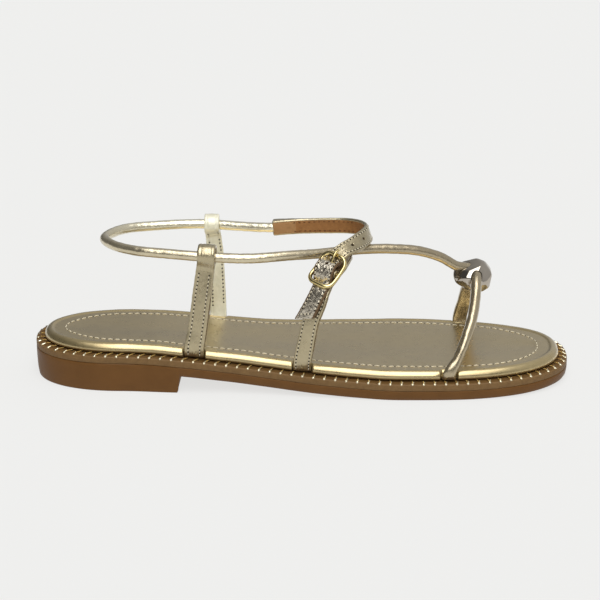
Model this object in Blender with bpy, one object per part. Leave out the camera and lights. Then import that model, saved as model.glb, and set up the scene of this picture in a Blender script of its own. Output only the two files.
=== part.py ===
"""Flat gladiator sandal for the right foot, in metres, toe towards +X and inner side towards +Y.

The sole is stacked from outsole with moulded heel, studded welt and padded insole. The upper is made of
straps: a rolled ankle cord that turns into a flat buckle strap, two heel posts and a side strap folded
round it, and a rolled toe strap that meets the cord inside a metal nugget. The origin lies on the floor
under the middle of the heel.
"""

import math

import bmesh
import bpy
import numpy as np
from mathutils import Vector

# Sole sizes
LENGTH = 0.255
HEEL_WIDTH = 0.061
WAIST_WIDTH = 0.0642
BALL_WIDTH = 0.0858
HEEL_ROUND = 0.041
HEEL_ROUND_POWER = 2.15
TOE_ROUND = 0.0815
TOE_ROUND_POWER = 2.4
TOE_DRIFT = 0.003
HEEL_CENTRE = 0.035
HEEL_BREAST = 0.0696
BREAST_SLANT = 0.0014
HEEL_LIFT = 0.0094
TOE_SPRING = 0.0014
OUTSOLE_THICKNESS = 0.0046
OUTSOLE_TAPER = 0.0009
WELT_THICKNESS = 0.0034
WELT_CHAMFER = 0.0005
WELT_LEDGE = 0.0042
INSOLE_THICKNESS = 0.0043
INSOLE_ROLL = 0.0026
INSOLE_MARGIN = 0.0062
INSOLE_DISH = 0.0005
CLEARANCE = 0.0003

# Strap sizes
ANKLE_HEIGHT = 0.066
CORD_DIAMETER = 0.0047
STRAP_WIDTH = 0.0074
STRAP_THICKNESS = 0.0018
TAIL_WIDTH = 0.0083
TAIL_DRIFT = 0.0024
TAIL_SLANT = 0.5
LATERAL_POST_WIDTH = 0.0092
MEDIAL_POST_WIDTH = 0.008
POST_THICKNESS = 0.0024
POST_FOLD_WALL = 0.002
LATERAL_FOLD_LIFT = 0.001
SIDE_WIDTH = 0.0084
SIDE_THICKNESS = 0.0022
SIDE_FOLD_WALL = 0.0009
TOE_CORD_DIAMETER = 0.005
TOE_TAB_WIDTH = 0.0072
TAB_LENGTH = 0.008
TAB_THICKNESS = 0.0016
TAB_BEND = 0.0021
FOOT_PROUD = 0.0005
TOE_FOOT_PROUD = 0.0014

# Hardware sizes
BUCKLE_WIDTH = 0.0145
BUCKLE_HEIGHT = 0.0185
BUCKLE_CORNER = 0.0038
BUCKLE_WIRE = 0.002
BUCKLE_BOW = 0.0014
CENTRE_BAR_DIAMETER = 0.0016
KEEPER_WALL = 0.0008
KEEPER_SLOT = 0.0026
PRONG_DIAMETER = 0.0013
PRONG_OVERHANG = 0.0022
PUNCH_DIAMETER = 0.0015
PUNCH_PITCH = 0.0078
NUGGET_LENGTH = 0.0192
NUGGET_DEPTH = 0.0165
NUGGET_HEIGHT = 0.0162
NUGGET_EDGE = 0.0007

# Mesh fineness
STRAP_SIDES = 12
WIRE_SIDES = 10
ROD_SIDES = 16
ROUTE_STEP = 0.0046
STEPS_PER_SPAN = 2

SOLE_THICKNESS = OUTSOLE_THICKNESS + CLEARANCE + WELT_THICKNESS
LATERAL = -1
MEDIAL = 1

# Sole outline, rows from heel to toe: station as a share of LENGTH, lateral and medial half width
OUTLINE = (
    (0.00, 0.500 * HEEL_WIDTH, 0.500 * HEEL_WIDTH),
    (0.16, 0.502 * HEEL_WIDTH, 0.500 * HEEL_WIDTH),
    (0.28, 0.512 * WAIST_WIDTH, 0.480 * WAIST_WIDTH),
    (0.36, 0.514 * WAIST_WIDTH, 0.488 * WAIST_WIDTH),
    (0.42, 0.534 * WAIST_WIDTH, 0.502 * WAIST_WIDTH),
    (0.53, 0.448 * BALL_WIDTH, 0.436 * BALL_WIDTH),
    (0.60, 0.472 * BALL_WIDTH, 0.476 * BALL_WIDTH),
    (0.69, 0.497 * BALL_WIDTH, 0.503 * BALL_WIDTH),
    (1.00, 0.498 * BALL_WIDTH, 0.502 * BALL_WIDTH),
)

# Side view of the sole, rows from heel to toe: station, share of HEEL_LIFT, share of TOE_SPRING
SIDE_VIEW = (
    (0.00, 1.00, 0.0),
    (0.15, 1.00, 0.0),
    (0.22, 0.97, 0.0),
    (0.28, 0.86, 0.0),
    (0.36, 0.61, 0.0),
    (0.44, 0.38, 0.0),
    (0.53, 0.17, 0.0),
    (0.61, 0.04, 0.0),
    (0.66, 0.00, 0.0),
    (0.78, 0.00, 0.0),
    (0.90, 0.00, 0.38),
    (1.00, 0.00, 1.0),
)

# Edge of the insole, rows from below to above: inset as a share of INSOLE_ROLL, share of INSOLE_THICKNESS
INSOLE_EDGE = (
    (0.16, 0.00),
    (0.00, 0.18),
    (0.00, 0.52),
    (0.14, 0.78),
    (0.45, 0.94),
    (1.00, 1.00),
)

# Ankle cord from the nugget round the heel: share of LENGTH, of half BALL_WIDTH and of ANKLE_HEIGHT
CORD_ROUTE = (
    (0.790, -0.020, 0.802),
    (0.763, -0.045, 0.867),
    (0.724, -0.090, 0.926),
    (0.671, -0.155, 0.960),
    (0.626, -0.215, 0.972),
    (0.582, -0.300, 0.976),
    (0.526, -0.435, 0.982),
    (0.478, -0.535, 0.991),
    (0.405, -0.636, 0.991),
    (0.327, -0.612, 0.998),
    (0.255, -0.540, 1.006),
    (0.192, -0.440, 1.010),
    (0.153, -0.255, 1.008),
    (0.133, 0.000, 1.006),
    (0.157, 0.290, 1.008),
    (0.238, 0.495, 1.004),
    (0.330, 0.553, 1.000),
    (0.380, 0.490, 0.998),
    (0.445, 0.405, 1.006),
)

# Flat strap from the cord's end round the front of the ankle, same columns, then how far its face
# leans back and how far it has turned towards the buckle's face
STRAP_ROUTE = (
    (0.472, 0.390, 1.016, 0.00, 0.0),
    (0.505, 0.375, 1.023, 0.00, 0.0),
    (0.545, 0.345, 1.032, 0.00, 0.0),
    (0.588, 0.285, 1.043, 0.10, 0.0),
    (0.614, 0.120, 1.060, 0.25, 0.0),
    (0.624, -0.100, 1.070, 0.35, 0.0),
    (0.613, -0.300, 1.065, 0.50, 0.2),
    (0.594, -0.455, 1.048, 0.70, 0.6),
)

# Rising parts of the straps: share of LENGTH, of half BALL_WIDTH and of ANKLE_HEIGHT
LATERAL_POST_ROUTE = ((0.308, -0.664, 0.455), (0.317, -0.650, 0.712))
MEDIAL_POST_ROUTE = ((0.338, 0.630, 0.530), (0.335, 0.605, 0.788))
SIDE_ROUTE = ((0.510, -0.822, 0.430), (0.518, -0.834, 0.580), (0.531, -0.825, 0.716))
LATERAL_TOE_ROUTE = (
    (0.786, -0.840, 0.276),
    (0.801, -0.747, 0.405),
    (0.814, -0.580, 0.520),
    (0.822, -0.370, 0.625),
    (0.826, -0.145, 0.735),
)
TOE_CROWN = (0.827, 0.045, 0.768)
MEDIAL_TOE_ROUTE = (
    (0.826, 0.235, 0.700),
    (0.824, 0.445, 0.590),
    (0.821, 0.655, 0.465),
    (0.817, 0.770, 0.360),
)

# Where the straps leave the sole, as shares of LENGTH, and where they fold round the cord
LATERAL_POST_FOOT = 0.301
MEDIAL_POST_FOOT = 0.340
SIDE_FOOT = 0.501
LATERAL_TOE_FOOT = 0.771
MEDIAL_TOE_FOOT = 0.807
LATERAL_POST_LOOP = 9
MEDIAL_POST_LOOP = 16
SIDE_LOOP = 5

# Rows of the side strap between which the buckle strap's tail lies, from above to below
TAIL_ROWS = (8, 6)

# Buckle: middle of its centre bar, and the directions along the strap and out of its face
BUCKLE_SPOT = (0.547, -0.722, 0.924)
BUCKLE_UP = Vector((0.425, 0.575, 0.70))
BUCKLE_OUT = Vector((-0.287, -0.649, 0.707))

# Nugget: its middle, and its facet corners as shares of half length, depth and height
NUGGET_SPOT = (0.820, 0.010, 0.726)
NUGGET_CORNERS = (
    (-0.62, -0.35, 0.62), (-0.10, -0.48, 0.86), (0.42, -0.42, 0.80), (0.55, -0.62, 0.42),
    (0.18, -0.92, 0.05), (-0.42, -0.86, 0.10), (-0.98, -0.40, 0.02), (-0.86, -0.55, -0.32),
    (-0.12, -0.80, -0.66), (0.62, -0.74, -0.38), (0.98, -0.30, 0.05), (0.86, -0.22, -0.72),
    (0.45, -0.40, -0.96), (-0.30, -0.30, -0.82), (-0.95, 0.30, 0.10), (-0.62, 0.40, 0.66),
    (0.00, 0.42, 0.96), (0.60, 0.35, 0.72), (0.96, 0.30, 0.12), (0.72, 0.40, -0.70),
    (0.00, 0.86, 0.30), (-0.55, 0.80, -0.20), (0.50, 0.84, -0.15), (0.00, 0.55, -0.80),
    (-0.70, 0.35, -0.50),
)

# Colours: base colour, roughness, metallic
GOLD_LEATHER = ((0.36, 0.30, 0.19), 0.38, 0.7)
INSOLE_LEATHER = ((0.30, 0.25, 0.15), 0.45, 0.5)
WELT_BROWN = ((0.20, 0.10, 0.045), 0.6, 0.0)
SOLE_BROWN = ((0.15, 0.07, 0.025), 0.55, 0.0)
YELLOW_GOLD = ((0.75, 0.58, 0.25), 0.22, 1.0)
PALE_GOLD = ((0.80, 0.74, 0.60), 0.12, 1.0)


def blend(rows, column, station):
    """Smooth value of a table's column at a station, with no overshoot between its rows."""
    xs = [row[0] for row in rows]
    ys = [row[column] for row in rows]
    gaps = np.diff(xs)
    slopes = np.diff(ys) / gaps
    tangents = np.zeros(len(xs))
    for i in range(1, len(xs) - 1):
        if slopes[i - 1] * slopes[i] > 0:
            tangents[i] = 2 * slopes[i - 1] * slopes[i] / (slopes[i - 1] + slopes[i])
    station = min(max(station, xs[0]), xs[-1])
    i = min(int(np.searchsorted(xs, station, side="right")) - 1, len(gaps) - 1)
    t = (station - xs[i]) / gaps[i]
    start = (1 + 2 * t) * (1 - t) ** 2 * ys[i] + t * (1 - t) ** 2 * gaps[i] * tangents[i]
    end = t * t * (3 - 2 * t) * ys[i + 1] + t * t * (t - 1) * gaps[i] * tangents[i + 1]
    return float(start + end)


def round_end(distance, length, power):
    """Share of the full width at a distance from a rounded end."""
    t = min(max(distance / length, 0), 1)
    return (1 - (1 - t) ** power) ** (1 / power)


def seat(x):
    """Height of the welt's top at x, where x is measured from the middle of the heel."""
    station = (x + HEEL_CENTRE) / LENGTH
    lift = HEEL_LIFT * blend(SIDE_VIEW, 1, station)
    return SOLE_THICKNESS + lift + TOE_SPRING * blend(SIDE_VIEW, 2, station)


def edge(station, side, inset):
    """Point in plan on the outline, moved inwards by inset."""
    column = 1 if side == LATERAL else 2
    x = inset + station * (LENGTH - 2 * inset) - HEEL_CENTRE
    width = blend(OUTLINE, column, station) - inset
    width *= round_end(station * LENGTH, HEEL_ROUND, HEEL_ROUND_POWER)
    width *= round_end((1 - station) * LENGTH, TOE_ROUND, TOE_ROUND_POWER)
    turn = max(0, (station - 1) * LENGTH / TOE_ROUND + 1)
    return x, side * width - TOE_DRIFT * turn * turn * (3 - 2 * turn)


def stations():
    """Stations from heel to toe, close together where the ends are round."""
    heel_turn = np.radians((3, 9, 17, 26, 36, 47, 59, 72, 86))
    toe_turn = np.radians((86, 74, 63, 53, 44, 36, 28, 21, 14, 8, 3))
    heel = list(HEEL_ROUND / LENGTH * (1 - np.cos(heel_turn)))
    toe = list(1 - TOE_ROUND / LENGTH * (1 - np.cos(toe_turn)))
    middle = np.linspace(heel[-1], toe[0], 15)[1:-1]
    return heel + list(middle) + toe


def new_object(name, bm, look):
    """Object from a bmesh with outward faces, smooth shading and its own material."""
    bm.normal_update()
    bmesh.ops.recalc_face_normals(bm, faces=bm.faces)
    mesh = bpy.data.meshes.new(name)
    bm.to_mesh(mesh)
    bm.free()
    mesh.shade_smooth()
    mesh.set_sharp_from_angle(angle=math.radians(40))
    colour, roughness, metallic = look
    material = bpy.data.materials.new(name)
    material.use_nodes = True
    shader = material.node_tree.nodes["Principled BSDF"]
    shader.inputs["Base Color"].default_value = (*colour, 1)
    shader.inputs["Roughness"].default_value = roughness
    shader.inputs["Metallic"].default_value = metallic
    mesh.materials.append(material)
    thing = bpy.data.objects.new(name, mesh)
    bpy.context.collection.objects.link(thing)
    return thing


def hide_cutter(thing):
    thing.hide_render = True
    thing.display_type = "WIRE"
    return thing


def combine(target, other, operation):
    """Boolean modifier on target, with the other object kept as a hidden tool."""
    modifier = target.modifiers.new(operation.lower(), "BOOLEAN")
    modifier.operation = operation
    modifier.solver = "EXACT"
    modifier.object = hide_cutter(other)


def slab(name, levels, cuts, look):
    """Closed sole layer from outlines at several levels, each an inset and a height for any x."""
    bm = bmesh.new()
    rings = []
    for inset, height in levels:
        lateral = [edge(s, LATERAL, inset) for s in cuts]
        medial = [edge(s, MEDIAL, inset) for s in reversed(cuts)]
        rings.append([bm.verts.new((x, y, height(x))) for x, y in lateral + medial])
    count = len(rings[0])
    for lower, upper in zip(rings, rings[1:]):
        for i in range(count):
            j = (i + 1) % count
            bm.faces.new((lower[i], lower[j], upper[j], upper[i]))
    for ring in (rings[0], rings[-1]):
        for i in range(len(cuts) - 1):
            bm.faces.new((ring[i], ring[i + 1], ring[count - 2 - i], ring[count - 1 - i]))
    return new_object(name, bm, look)


def make_outsole():
    """Moulded outsole with its heel block, arch, flat tread under the ball and toe spring."""
    breast = HEEL_BREAST / LENGTH
    slant = BREAST_SLANT / 2 / LENGTH
    cuts = [s for s in stations() if abs(s - breast) > 3 * slant]
    cuts = sorted(cuts + [breast - slant, breast + slant])

    def underside(x):
        if (x + HEEL_CENTRE) < HEEL_BREAST:
            return 0
        return seat(x) - SOLE_THICKNESS

    def above(share):
        def height(x):
            low = underside(x)
            return low + share * (seat(x) - WELT_THICKNESS - CLEARANCE - low)
        return height

    levels = (
        (OUTSOLE_TAPER, underside),
        (OUTSOLE_TAPER / 3, above(0.25)),
        (0, above(0.6)),
        (0, above(0.9)),
        (WELT_CHAMFER, above(1)),
    )
    slab("outsole", levels, cuts, SOLE_BROWN)


def make_welt():
    """Welt board whose edge shows round the insole."""
    def level(drop):
        return lambda x: seat(x) - drop

    levels = (
        (WELT_CHAMFER, level(WELT_THICKNESS)),
        (0, level(WELT_THICKNESS - WELT_CHAMFER)),
        (0, level(WELT_CHAMFER)),
        (WELT_CHAMFER, level(0)),
    )
    slab("welt", levels, stations(), WELT_BROWN)


def insole_top(x):
    return seat(x) + CLEARANCE + INSOLE_THICKNESS


def make_insole(feet):
    """Padded insole with a rolled edge, a pressed margin line and recesses for the strap ends."""
    def level(share):
        return lambda x: seat(x) + CLEARANCE + share * INSOLE_THICKNESS

    levels = [(WELT_LEDGE + inset * INSOLE_ROLL, level(share)) for inset, share in INSOLE_EDGE]
    levels.append((WELT_LEDGE + INSOLE_MARGIN, lambda x: insole_top(x) - INSOLE_DISH))
    levels.append((WELT_LEDGE + INSOLE_MARGIN + INSOLE_ROLL, insole_top))
    insole = slab("insole", levels, stations(), INSOLE_LEATHER)
    for index, (rows, x, side, outer) in enumerate(feet):
        recess = strap_cutter(f"insole_recess_{index}", rows, insole_top(x) + INSOLE_ROLL)
        combine(insole, recess, "DIFFERENCE")
        combine(insole, foot_cutter(f"insole_notch_{index}", rows, x, side, outer), "DIFFERENCE")


def foot_cutter(name, rows, x, side, outer):
    """Block that clears the insole's corner outside a strap's bend."""
    half_width = rows[0][6] + CLEARANCE
    low = seat(x) - WELT_THICKNESS
    high = rows[4][2]
    inner = abs(rows[2][1])
    bm = bmesh.new()
    bmesh.ops.create_cube(bm, size=1)
    for vertex in bm.verts:
        px, py, pz = vertex.co
        near = inner if py < 0 else outer + WELT_LEDGE
        vertex.co = (x + 2 * px * half_width, side * near, low if pz < 0 else high)
    return new_object(name, bm, GOLD_LEATHER)


def spot(station, side, height):
    """Point from shares of the sole's length, its half ball width and the ankle height."""
    return Vector((station * LENGTH - HEEL_CENTRE, side * BALL_WIDTH / 2, height * ANKLE_HEIGHT))


def buckle_axes():
    """Right, up and out directions of the buckle."""
    up = BUCKLE_UP.normalized()
    out = (BUCKLE_OUT - BUCKLE_OUT.dot(up) * up).normalized()
    return out.cross(up) * -1, up, out


def at_buckle(right, up, out):
    """Point from distances along the buckle's own directions."""
    axes = buckle_axes()
    return spot(*BUCKLE_SPOT) + right * axes[0] + up * axes[1] + out * axes[2]


def row(point, normal, half_width, half_thickness, power):
    return (*point, *normal, half_width, half_thickness, power)


def level_rows(points, half_width, half_thickness, power):
    """Rows whose outward side is level, to the left of the way that they run."""
    rows = []
    for i, point in enumerate(points):
        way = points[min(i + 1, len(points) - 1)] - points[max(i - 1, 0)]
        normal = Vector((0, 0, 1)).cross(way).normalized()
        rows.append(row(point, normal, half_width, half_thickness, power))
    return rows


def sample(rows):
    """Close rows along the smooth curve through a list of rows."""
    table = np.array(rows, dtype=float)
    points = table[:, :3]
    gaps = np.maximum(np.linalg.norm(np.diff(points, axis=0), axis=1), 1e-6)
    slopes = np.diff(points, axis=0) / gaps[:, None]
    tangents = np.empty_like(points)
    tangents[0] = slopes[0]
    tangents[-1] = slopes[-1]
    before = gaps[:-1, None]
    after = gaps[1:, None]
    tangents[1:-1] = (slopes[:-1] * after + slopes[1:] * before) / (before + after)
    close = []
    for i, gap in enumerate(gaps):
        steps = max(STEPS_PER_SPAN, math.ceil(gap / ROUTE_STEP))
        for k in range(steps):
            t = k / steps
            mixed = table[i] * (1 - t) + table[i + 1] * t
            curve = (1 + 2 * t) * (1 - t) ** 2 * points[i] + t * (1 - t) ** 2 * gap * tangents[i]
            curve += t * t * (3 - 2 * t) * points[i + 1] + t * t * (t - 1) * gap * tangents[i + 1]
            mixed[:3] = curve
            close.append(mixed)
    close.append(table[-1])
    return np.array(close)


def frames(close):
    """Tangent, side and outward directions at each close row."""
    tangents = np.gradient(close[:, :3], axis=0)
    tangents /= np.linalg.norm(tangents, axis=1)[:, None]
    sides = np.cross(tangents, close[:, 3:6])
    sides /= np.linalg.norm(sides, axis=1)[:, None]
    return tangents, sides, np.cross(sides, tangents)


def strap_body(name, close, growth, look, count=STRAP_SIDES, slant=0):
    """Closed strap of oval or flat section through close rows, grown all round, its end cut at a slant."""
    tangents, sides, outs = frames(close)
    sides[-1] += slant * tangents[-1]
    bm = bmesh.new()
    rings = []
    for i, line in enumerate(close):
        shift = growth if i == len(close) - 1 else -growth if i == 0 else 0
        centre = line[:3] + shift * tangents[i]
        half_width, half_thickness, power = line[6] + growth, line[7] + growth, line[8]
        ring = []
        for k in range(count):
            angle = 2 * math.pi * (k + 0.5) / count
            across = math.copysign(abs(math.cos(angle)) ** (2 / power), math.cos(angle))
            through = math.copysign(abs(math.sin(angle)) ** (2 / power), math.sin(angle))
            offset = half_width * across * sides[i] + half_thickness * through * outs[i]
            ring.append(bm.verts.new(centre + offset))
        rings.append(ring)
    for lower, upper in zip(rings, rings[1:]):
        for i in range(count):
            j = (i + 1) % count
            bm.faces.new((lower[i], lower[j], upper[j], upper[i]))
    bm.faces.new(rings[0])
    bm.faces.new(rings[-1])
    return new_object(name, bm, look)


def strap_cutter(name, rows, top):
    """Room for a strap's lower end, up to a height."""
    close = sample(rows)
    last = int(np.argmax(close[:, 2] > top))
    return strap_body(name, close[:last + 1], CLEARANCE, GOLD_LEATHER)


def foot_rows(station, side, half_width, thickness, proud):
    """Rows of a strap's end: a tab under the insole, then a bend up its edge."""
    x = station * LENGTH - HEEL_CENTRE
    inner = (station * LENGTH - WELT_LEDGE) / (LENGTH - 2 * WELT_LEDGE)
    outer = abs(edge(inner, side, WELT_LEDGE)[1]) + proud
    slope = (seat(x + half_width) - seat(x - half_width)) / (2 * half_width)
    down = Vector((slope, 0, -1)).normalized()
    out = Vector((0, side, 0))
    low = seat(x) + (CLEARANCE + thickness / 2) / -down.z
    upright = outer - thickness / 2
    turn = upright - TAB_BEND
    diagonal = TAB_BEND * math.sqrt(0.5)
    half = thickness / 2
    power = 5
    rows = [
        row((x, side * (turn - TAB_LENGTH), low), down, half_width, half, power),
        row((x, side * (turn - TAB_BEND), low), down, half_width, half, power),
        row((x, side * turn, low), down, half_width, half, power),
        row((x, side * (turn + diagonal), low + TAB_BEND - diagonal), out + down, half_width, half, power),
        row((x, side * upright, low + TAB_BEND), out, half_width, half, power),
    ]
    return rows, x, outer


def cord_points():
    return [spot(*entry) for entry in CORD_ROUTE]


def cord_way(index):
    points = cord_points()
    return (points[index + 1] - points[index - 1]).normalized()


def strap_levels():
    """Heights out of the buckle's face: behind its bars, over its keeper and behind the strap."""
    half = STRAP_THICKNESS / 2
    behind = (BUCKLE_BOW - BUCKLE_WIRE) / 2 - CLEARANCE - half
    over = (CENTRE_BAR_DIAMETER - BUCKLE_BOW) / 2 + KEEPER_WALL + 2 * CLEARANCE + half
    backing = behind - STRAP_THICKNESS / 2 - CLEARANCE - SIDE_THICKNESS / 2
    return behind, over, backing


def side_strap_rows():
    """Rows of the side strap, from its tab under the insole to the fold round the cord."""
    half_width = SIDE_WIDTH / 2
    half = SIDE_THICKNESS / 2
    rows, x, outer = foot_rows(SIDE_FOOT, LATERAL, half_width, SIDE_THICKNESS, FOOT_PROUD)
    outs = (Vector((-0.46, -0.88, 0.02)), Vector((-0.54, -0.83, 0.12)), Vector((-0.50, -0.80, 0.30)))
    for entry, out in zip(SIDE_ROUTE, outs):
        rows.append(row(spot(*entry), out, half_width, half, 5))
    backing = strap_levels()[2]
    face = buckle_axes()[2]
    bar = BUCKLE_HEIGHT / 2 - BUCKLE_WIRE / 2
    for up, deeper in (
        (-1.15 * bar, CLEARANCE),
        (-0.6 * bar, CLEARANCE),
        (0, 0),
        (0.6 * bar, 0.6 * SIDE_THICKNESS),
    ):
        rows.append(row(at_buckle(0, up, backing - deeper), face, half_width, half, 5))
    loop = cord_points()[SIDE_LOOP]
    out = cord_way(SIDE_LOOP).cross(loop - Vector(rows[-1][:3])).normalized()
    out *= math.copysign(1, out.dot(face))
    rows.append(row(loop, out, half_width, half, 5))
    return rows, x, outer


def ankle_rows():
    """Rows of the rolled cord from the nugget round the heel, then of the flat strap into the buckle."""
    radius = CORD_DIAMETER / 2
    points = cord_points()
    crown = spot(*TOE_CROWN)
    way = (points[0] - crown).normalized()
    points.insert(0, crown + way * (TOE_CORD_DIAMETER / 2 + 4 * CLEARANCE))
    flat = [spot(*entry[:3]) for entry in STRAP_ROUTE]
    half = STRAP_THICKNESS / 2
    rows = level_rows(points + flat, radius, radius, 2)
    sewn = len(points)
    face = buckle_axes()[2]
    widths = np.linspace(STRAP_WIDTH, TAIL_WIDTH, len(flat)) / 2
    for i, (entry, half_width) in enumerate(zip(STRAP_ROUTE, widths), start=sewn):
        leaning = (Vector(rows[i][3:6]) + Vector((0, 0, entry[3]))).normalized()
        rows[i] = row(rows[i][:3], leaning.lerp(face, entry[4]), half_width, half, 5)
    seam = points[-1].lerp(flat[0], 0.15)
    rows.insert(sewn, row(seam, rows[sewn][3:6], STRAP_WIDTH / 2, 0.8 * radius, 4))
    behind, over = strap_levels()[:2]
    bar = BUCKLE_HEIGHT / 2 - BUCKLE_WIRE / 2
    low = behind + 0.1 * (over - behind)
    high = behind + 0.76 * (over - behind)
    weave = (
        (0.25 * STRAP_WIDTH, 1.5 * bar, behind - 0.3 * STRAP_THICKNESS),
        (0.03 * STRAP_WIDTH, bar, behind),
        (0, 0.7 * bar, low),
        (0, 0.34 * bar, high),
        (0, 0, over),
        (0, -0.34 * bar, high),
        (0, -0.7 * bar, low),
        (0, -bar, behind),
    )
    for entry in weave:
        rows.append(row(at_buckle(*entry), face, TAIL_WIDTH / 2, half, 5))
    return rows + tail_rows()


def tail_rows():
    """Rows of the buckle strap's tail, lying on the side strap and drifting towards the heel."""
    rows = side_strap_rows()[0]
    close = sample(rows)
    sides, outs = frames(close)[1:]
    places = [np.linalg.norm(close[:, :3] - rows[i][:3], axis=1) for i in TAIL_ROWS]
    above, below = [int(np.argmin(distances)) for distances in places]
    offset = (SIDE_THICKNESS + STRAP_THICKNESS) / 2 + 1.5 * CLEARANCE
    lines = []
    for i in reversed(range(below, above, 2)):
        drift = TAIL_DRIFT * (above - i) / (above - below)
        point = close[i, :3] + offset * outs[i] - drift * sides[i]
        lines.append(row(point, outs[i], TAIL_WIDTH / 2, STRAP_THICKNESS / 2, 5))
    return lines


def make_ankle_strap(prong_rows):
    """Rolled cord sewn into the flat buckle strap, with its punched holes."""
    close = sample(ankle_rows())
    strap = strap_body("ankle_strap", close, 0, GOLD_LEATHER, slant=TAIL_SLANT)
    room = strap_body("prong_room", sample(prong_rows), CLEARANCE, GOLD_LEATHER, 8)
    combine(strap, room, "DIFFERENCE")
    outs = frames(close)[2]
    bar = at_buckle(0, BUCKLE_HEIGHT / 2, 0)
    crossing = int(np.argmin(np.linalg.norm(close[:, :3] - np.array(bar), axis=1)))
    strides = np.linalg.norm(np.diff(close[:, :3], axis=0), axis=1)
    travelled = np.concatenate(([0], np.cumsum(strides)))
    for index in range(3):
        target = travelled[crossing] - (index + 0.42) * PUNCH_PITCH
        near = int(np.argmin(abs(travelled - target)))
        centre = [np.interp(target, travelled, close[:, axis]) for axis in range(3)]
        combine(strap, punch(f"punch_{index}", centre, outs[near]), "DIFFERENCE")


def punch(name, centre, out):
    """Short round cutter through the strap."""
    bm = bmesh.new()
    bmesh.ops.create_cone(
        bm, cap_ends=True, segments=10, radius1=PUNCH_DIAMETER / 2, radius2=PUNCH_DIAMETER / 2,
        depth=2.4 * STRAP_THICKNESS,
    )
    turn = Vector(out).to_track_quat("Z", "Y").to_matrix().to_4x4()
    bmesh.ops.transform(bm, matrix=turn, verts=bm.verts)
    bmesh.ops.translate(bm, vec=Vector(centre), verts=bm.verts)
    return new_object(name, bm, GOLD_LEATHER)


def rod(name, start, end, radius, look, segments=ROD_SIDES):
    """Round bar between two points."""
    bm = bmesh.new()
    way = end - start
    bmesh.ops.create_cone(
        bm, cap_ends=True, segments=segments, radius1=radius, radius2=radius, depth=way.length,
    )
    bmesh.ops.transform(bm, matrix=way.to_track_quat("Z", "Y").to_matrix().to_4x4(), verts=bm.verts)
    bmesh.ops.translate(bm, vec=(start + end) / 2, verts=bm.verts)
    return new_object(name, bm, look)


def fold_round_cord(strap, index, width, wall, lift=0):
    """Add the fold that holds the cord at one of its route points, and open the cord's room."""
    centre = cord_points()[index] + Vector((0, 0, lift))
    reach = cord_way(index) * width / 2
    outer = CORD_DIAMETER / 2 + CLEARANCE + wall
    fold = rod(f"{strap.name}_fold", centre - reach, centre + reach, outer, GOLD_LEATHER)
    combine(strap, fold, "UNION")
    rows = level_rows(cord_points(), CORD_DIAMETER / 2, CORD_DIAMETER / 2, 2)
    nearby = sample(rows[index - 2:index + 3])
    room = strap_body(f"{strap.name}_cord_room", nearby, CLEARANCE, GOLD_LEATHER)
    combine(strap, room, "DIFFERENCE")


def post_rows(station, side, route, index, width):
    """Rows of a heel post, from its tab under the insole to its fold round the cord."""
    half_width = width / 2
    half = POST_THICKNESS / 2
    rows, x, outer = foot_rows(station, side, half_width, POST_THICKNESS, FOOT_PROUD)
    loop = cord_points()[index]
    way = cord_way(index) * (1 if cord_way(index).x > 0 else -1)
    top_out = Vector((-way.y, way.x, 0)).normalized() * side
    for i, entry in enumerate(route):
        share = (i + 1) / (len(route) + 1)
        out = Vector((0, side, 0)).lerp(top_out, share)
        rows.append(row(spot(*entry), out, half_width, half, 5))
    fold = CORD_DIAMETER / 2 + CLEARANCE + POST_FOLD_WALL
    rising = (loop - Vector(rows[-1][:3])).normalized()
    rows.append(row(loop - rising * 2.2 * fold, top_out, half_width, half, 5))
    rows.append(row(loop - rising * 0.55 * fold, top_out, half_width, 0.8 * fold, 5))
    return rows, x, outer


def make_posts():
    """Two heel posts that carry the ankle cord."""
    lateral = (LATERAL_POST_FOOT, LATERAL, LATERAL_POST_ROUTE, LATERAL_POST_LOOP, LATERAL_POST_WIDTH)
    medial = (MEDIAL_POST_FOOT, MEDIAL, MEDIAL_POST_ROUTE, MEDIAL_POST_LOOP, MEDIAL_POST_WIDTH)
    feet = []
    for name, post, lift in (
        ("heel_post_lateral", lateral, LATERAL_FOLD_LIFT),
        ("heel_post_medial", medial, 0),
    ):
        side, index, width = post[1], post[3], post[4]
        rows, x, outer = post_rows(*post)
        body = strap_body(name, sample(rows), 0, GOLD_LEATHER)
        fold_round_cord(body, index, 0.9 * width, POST_FOLD_WALL, lift)
        feet.append((rows, x, side, outer))
    return feet


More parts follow.
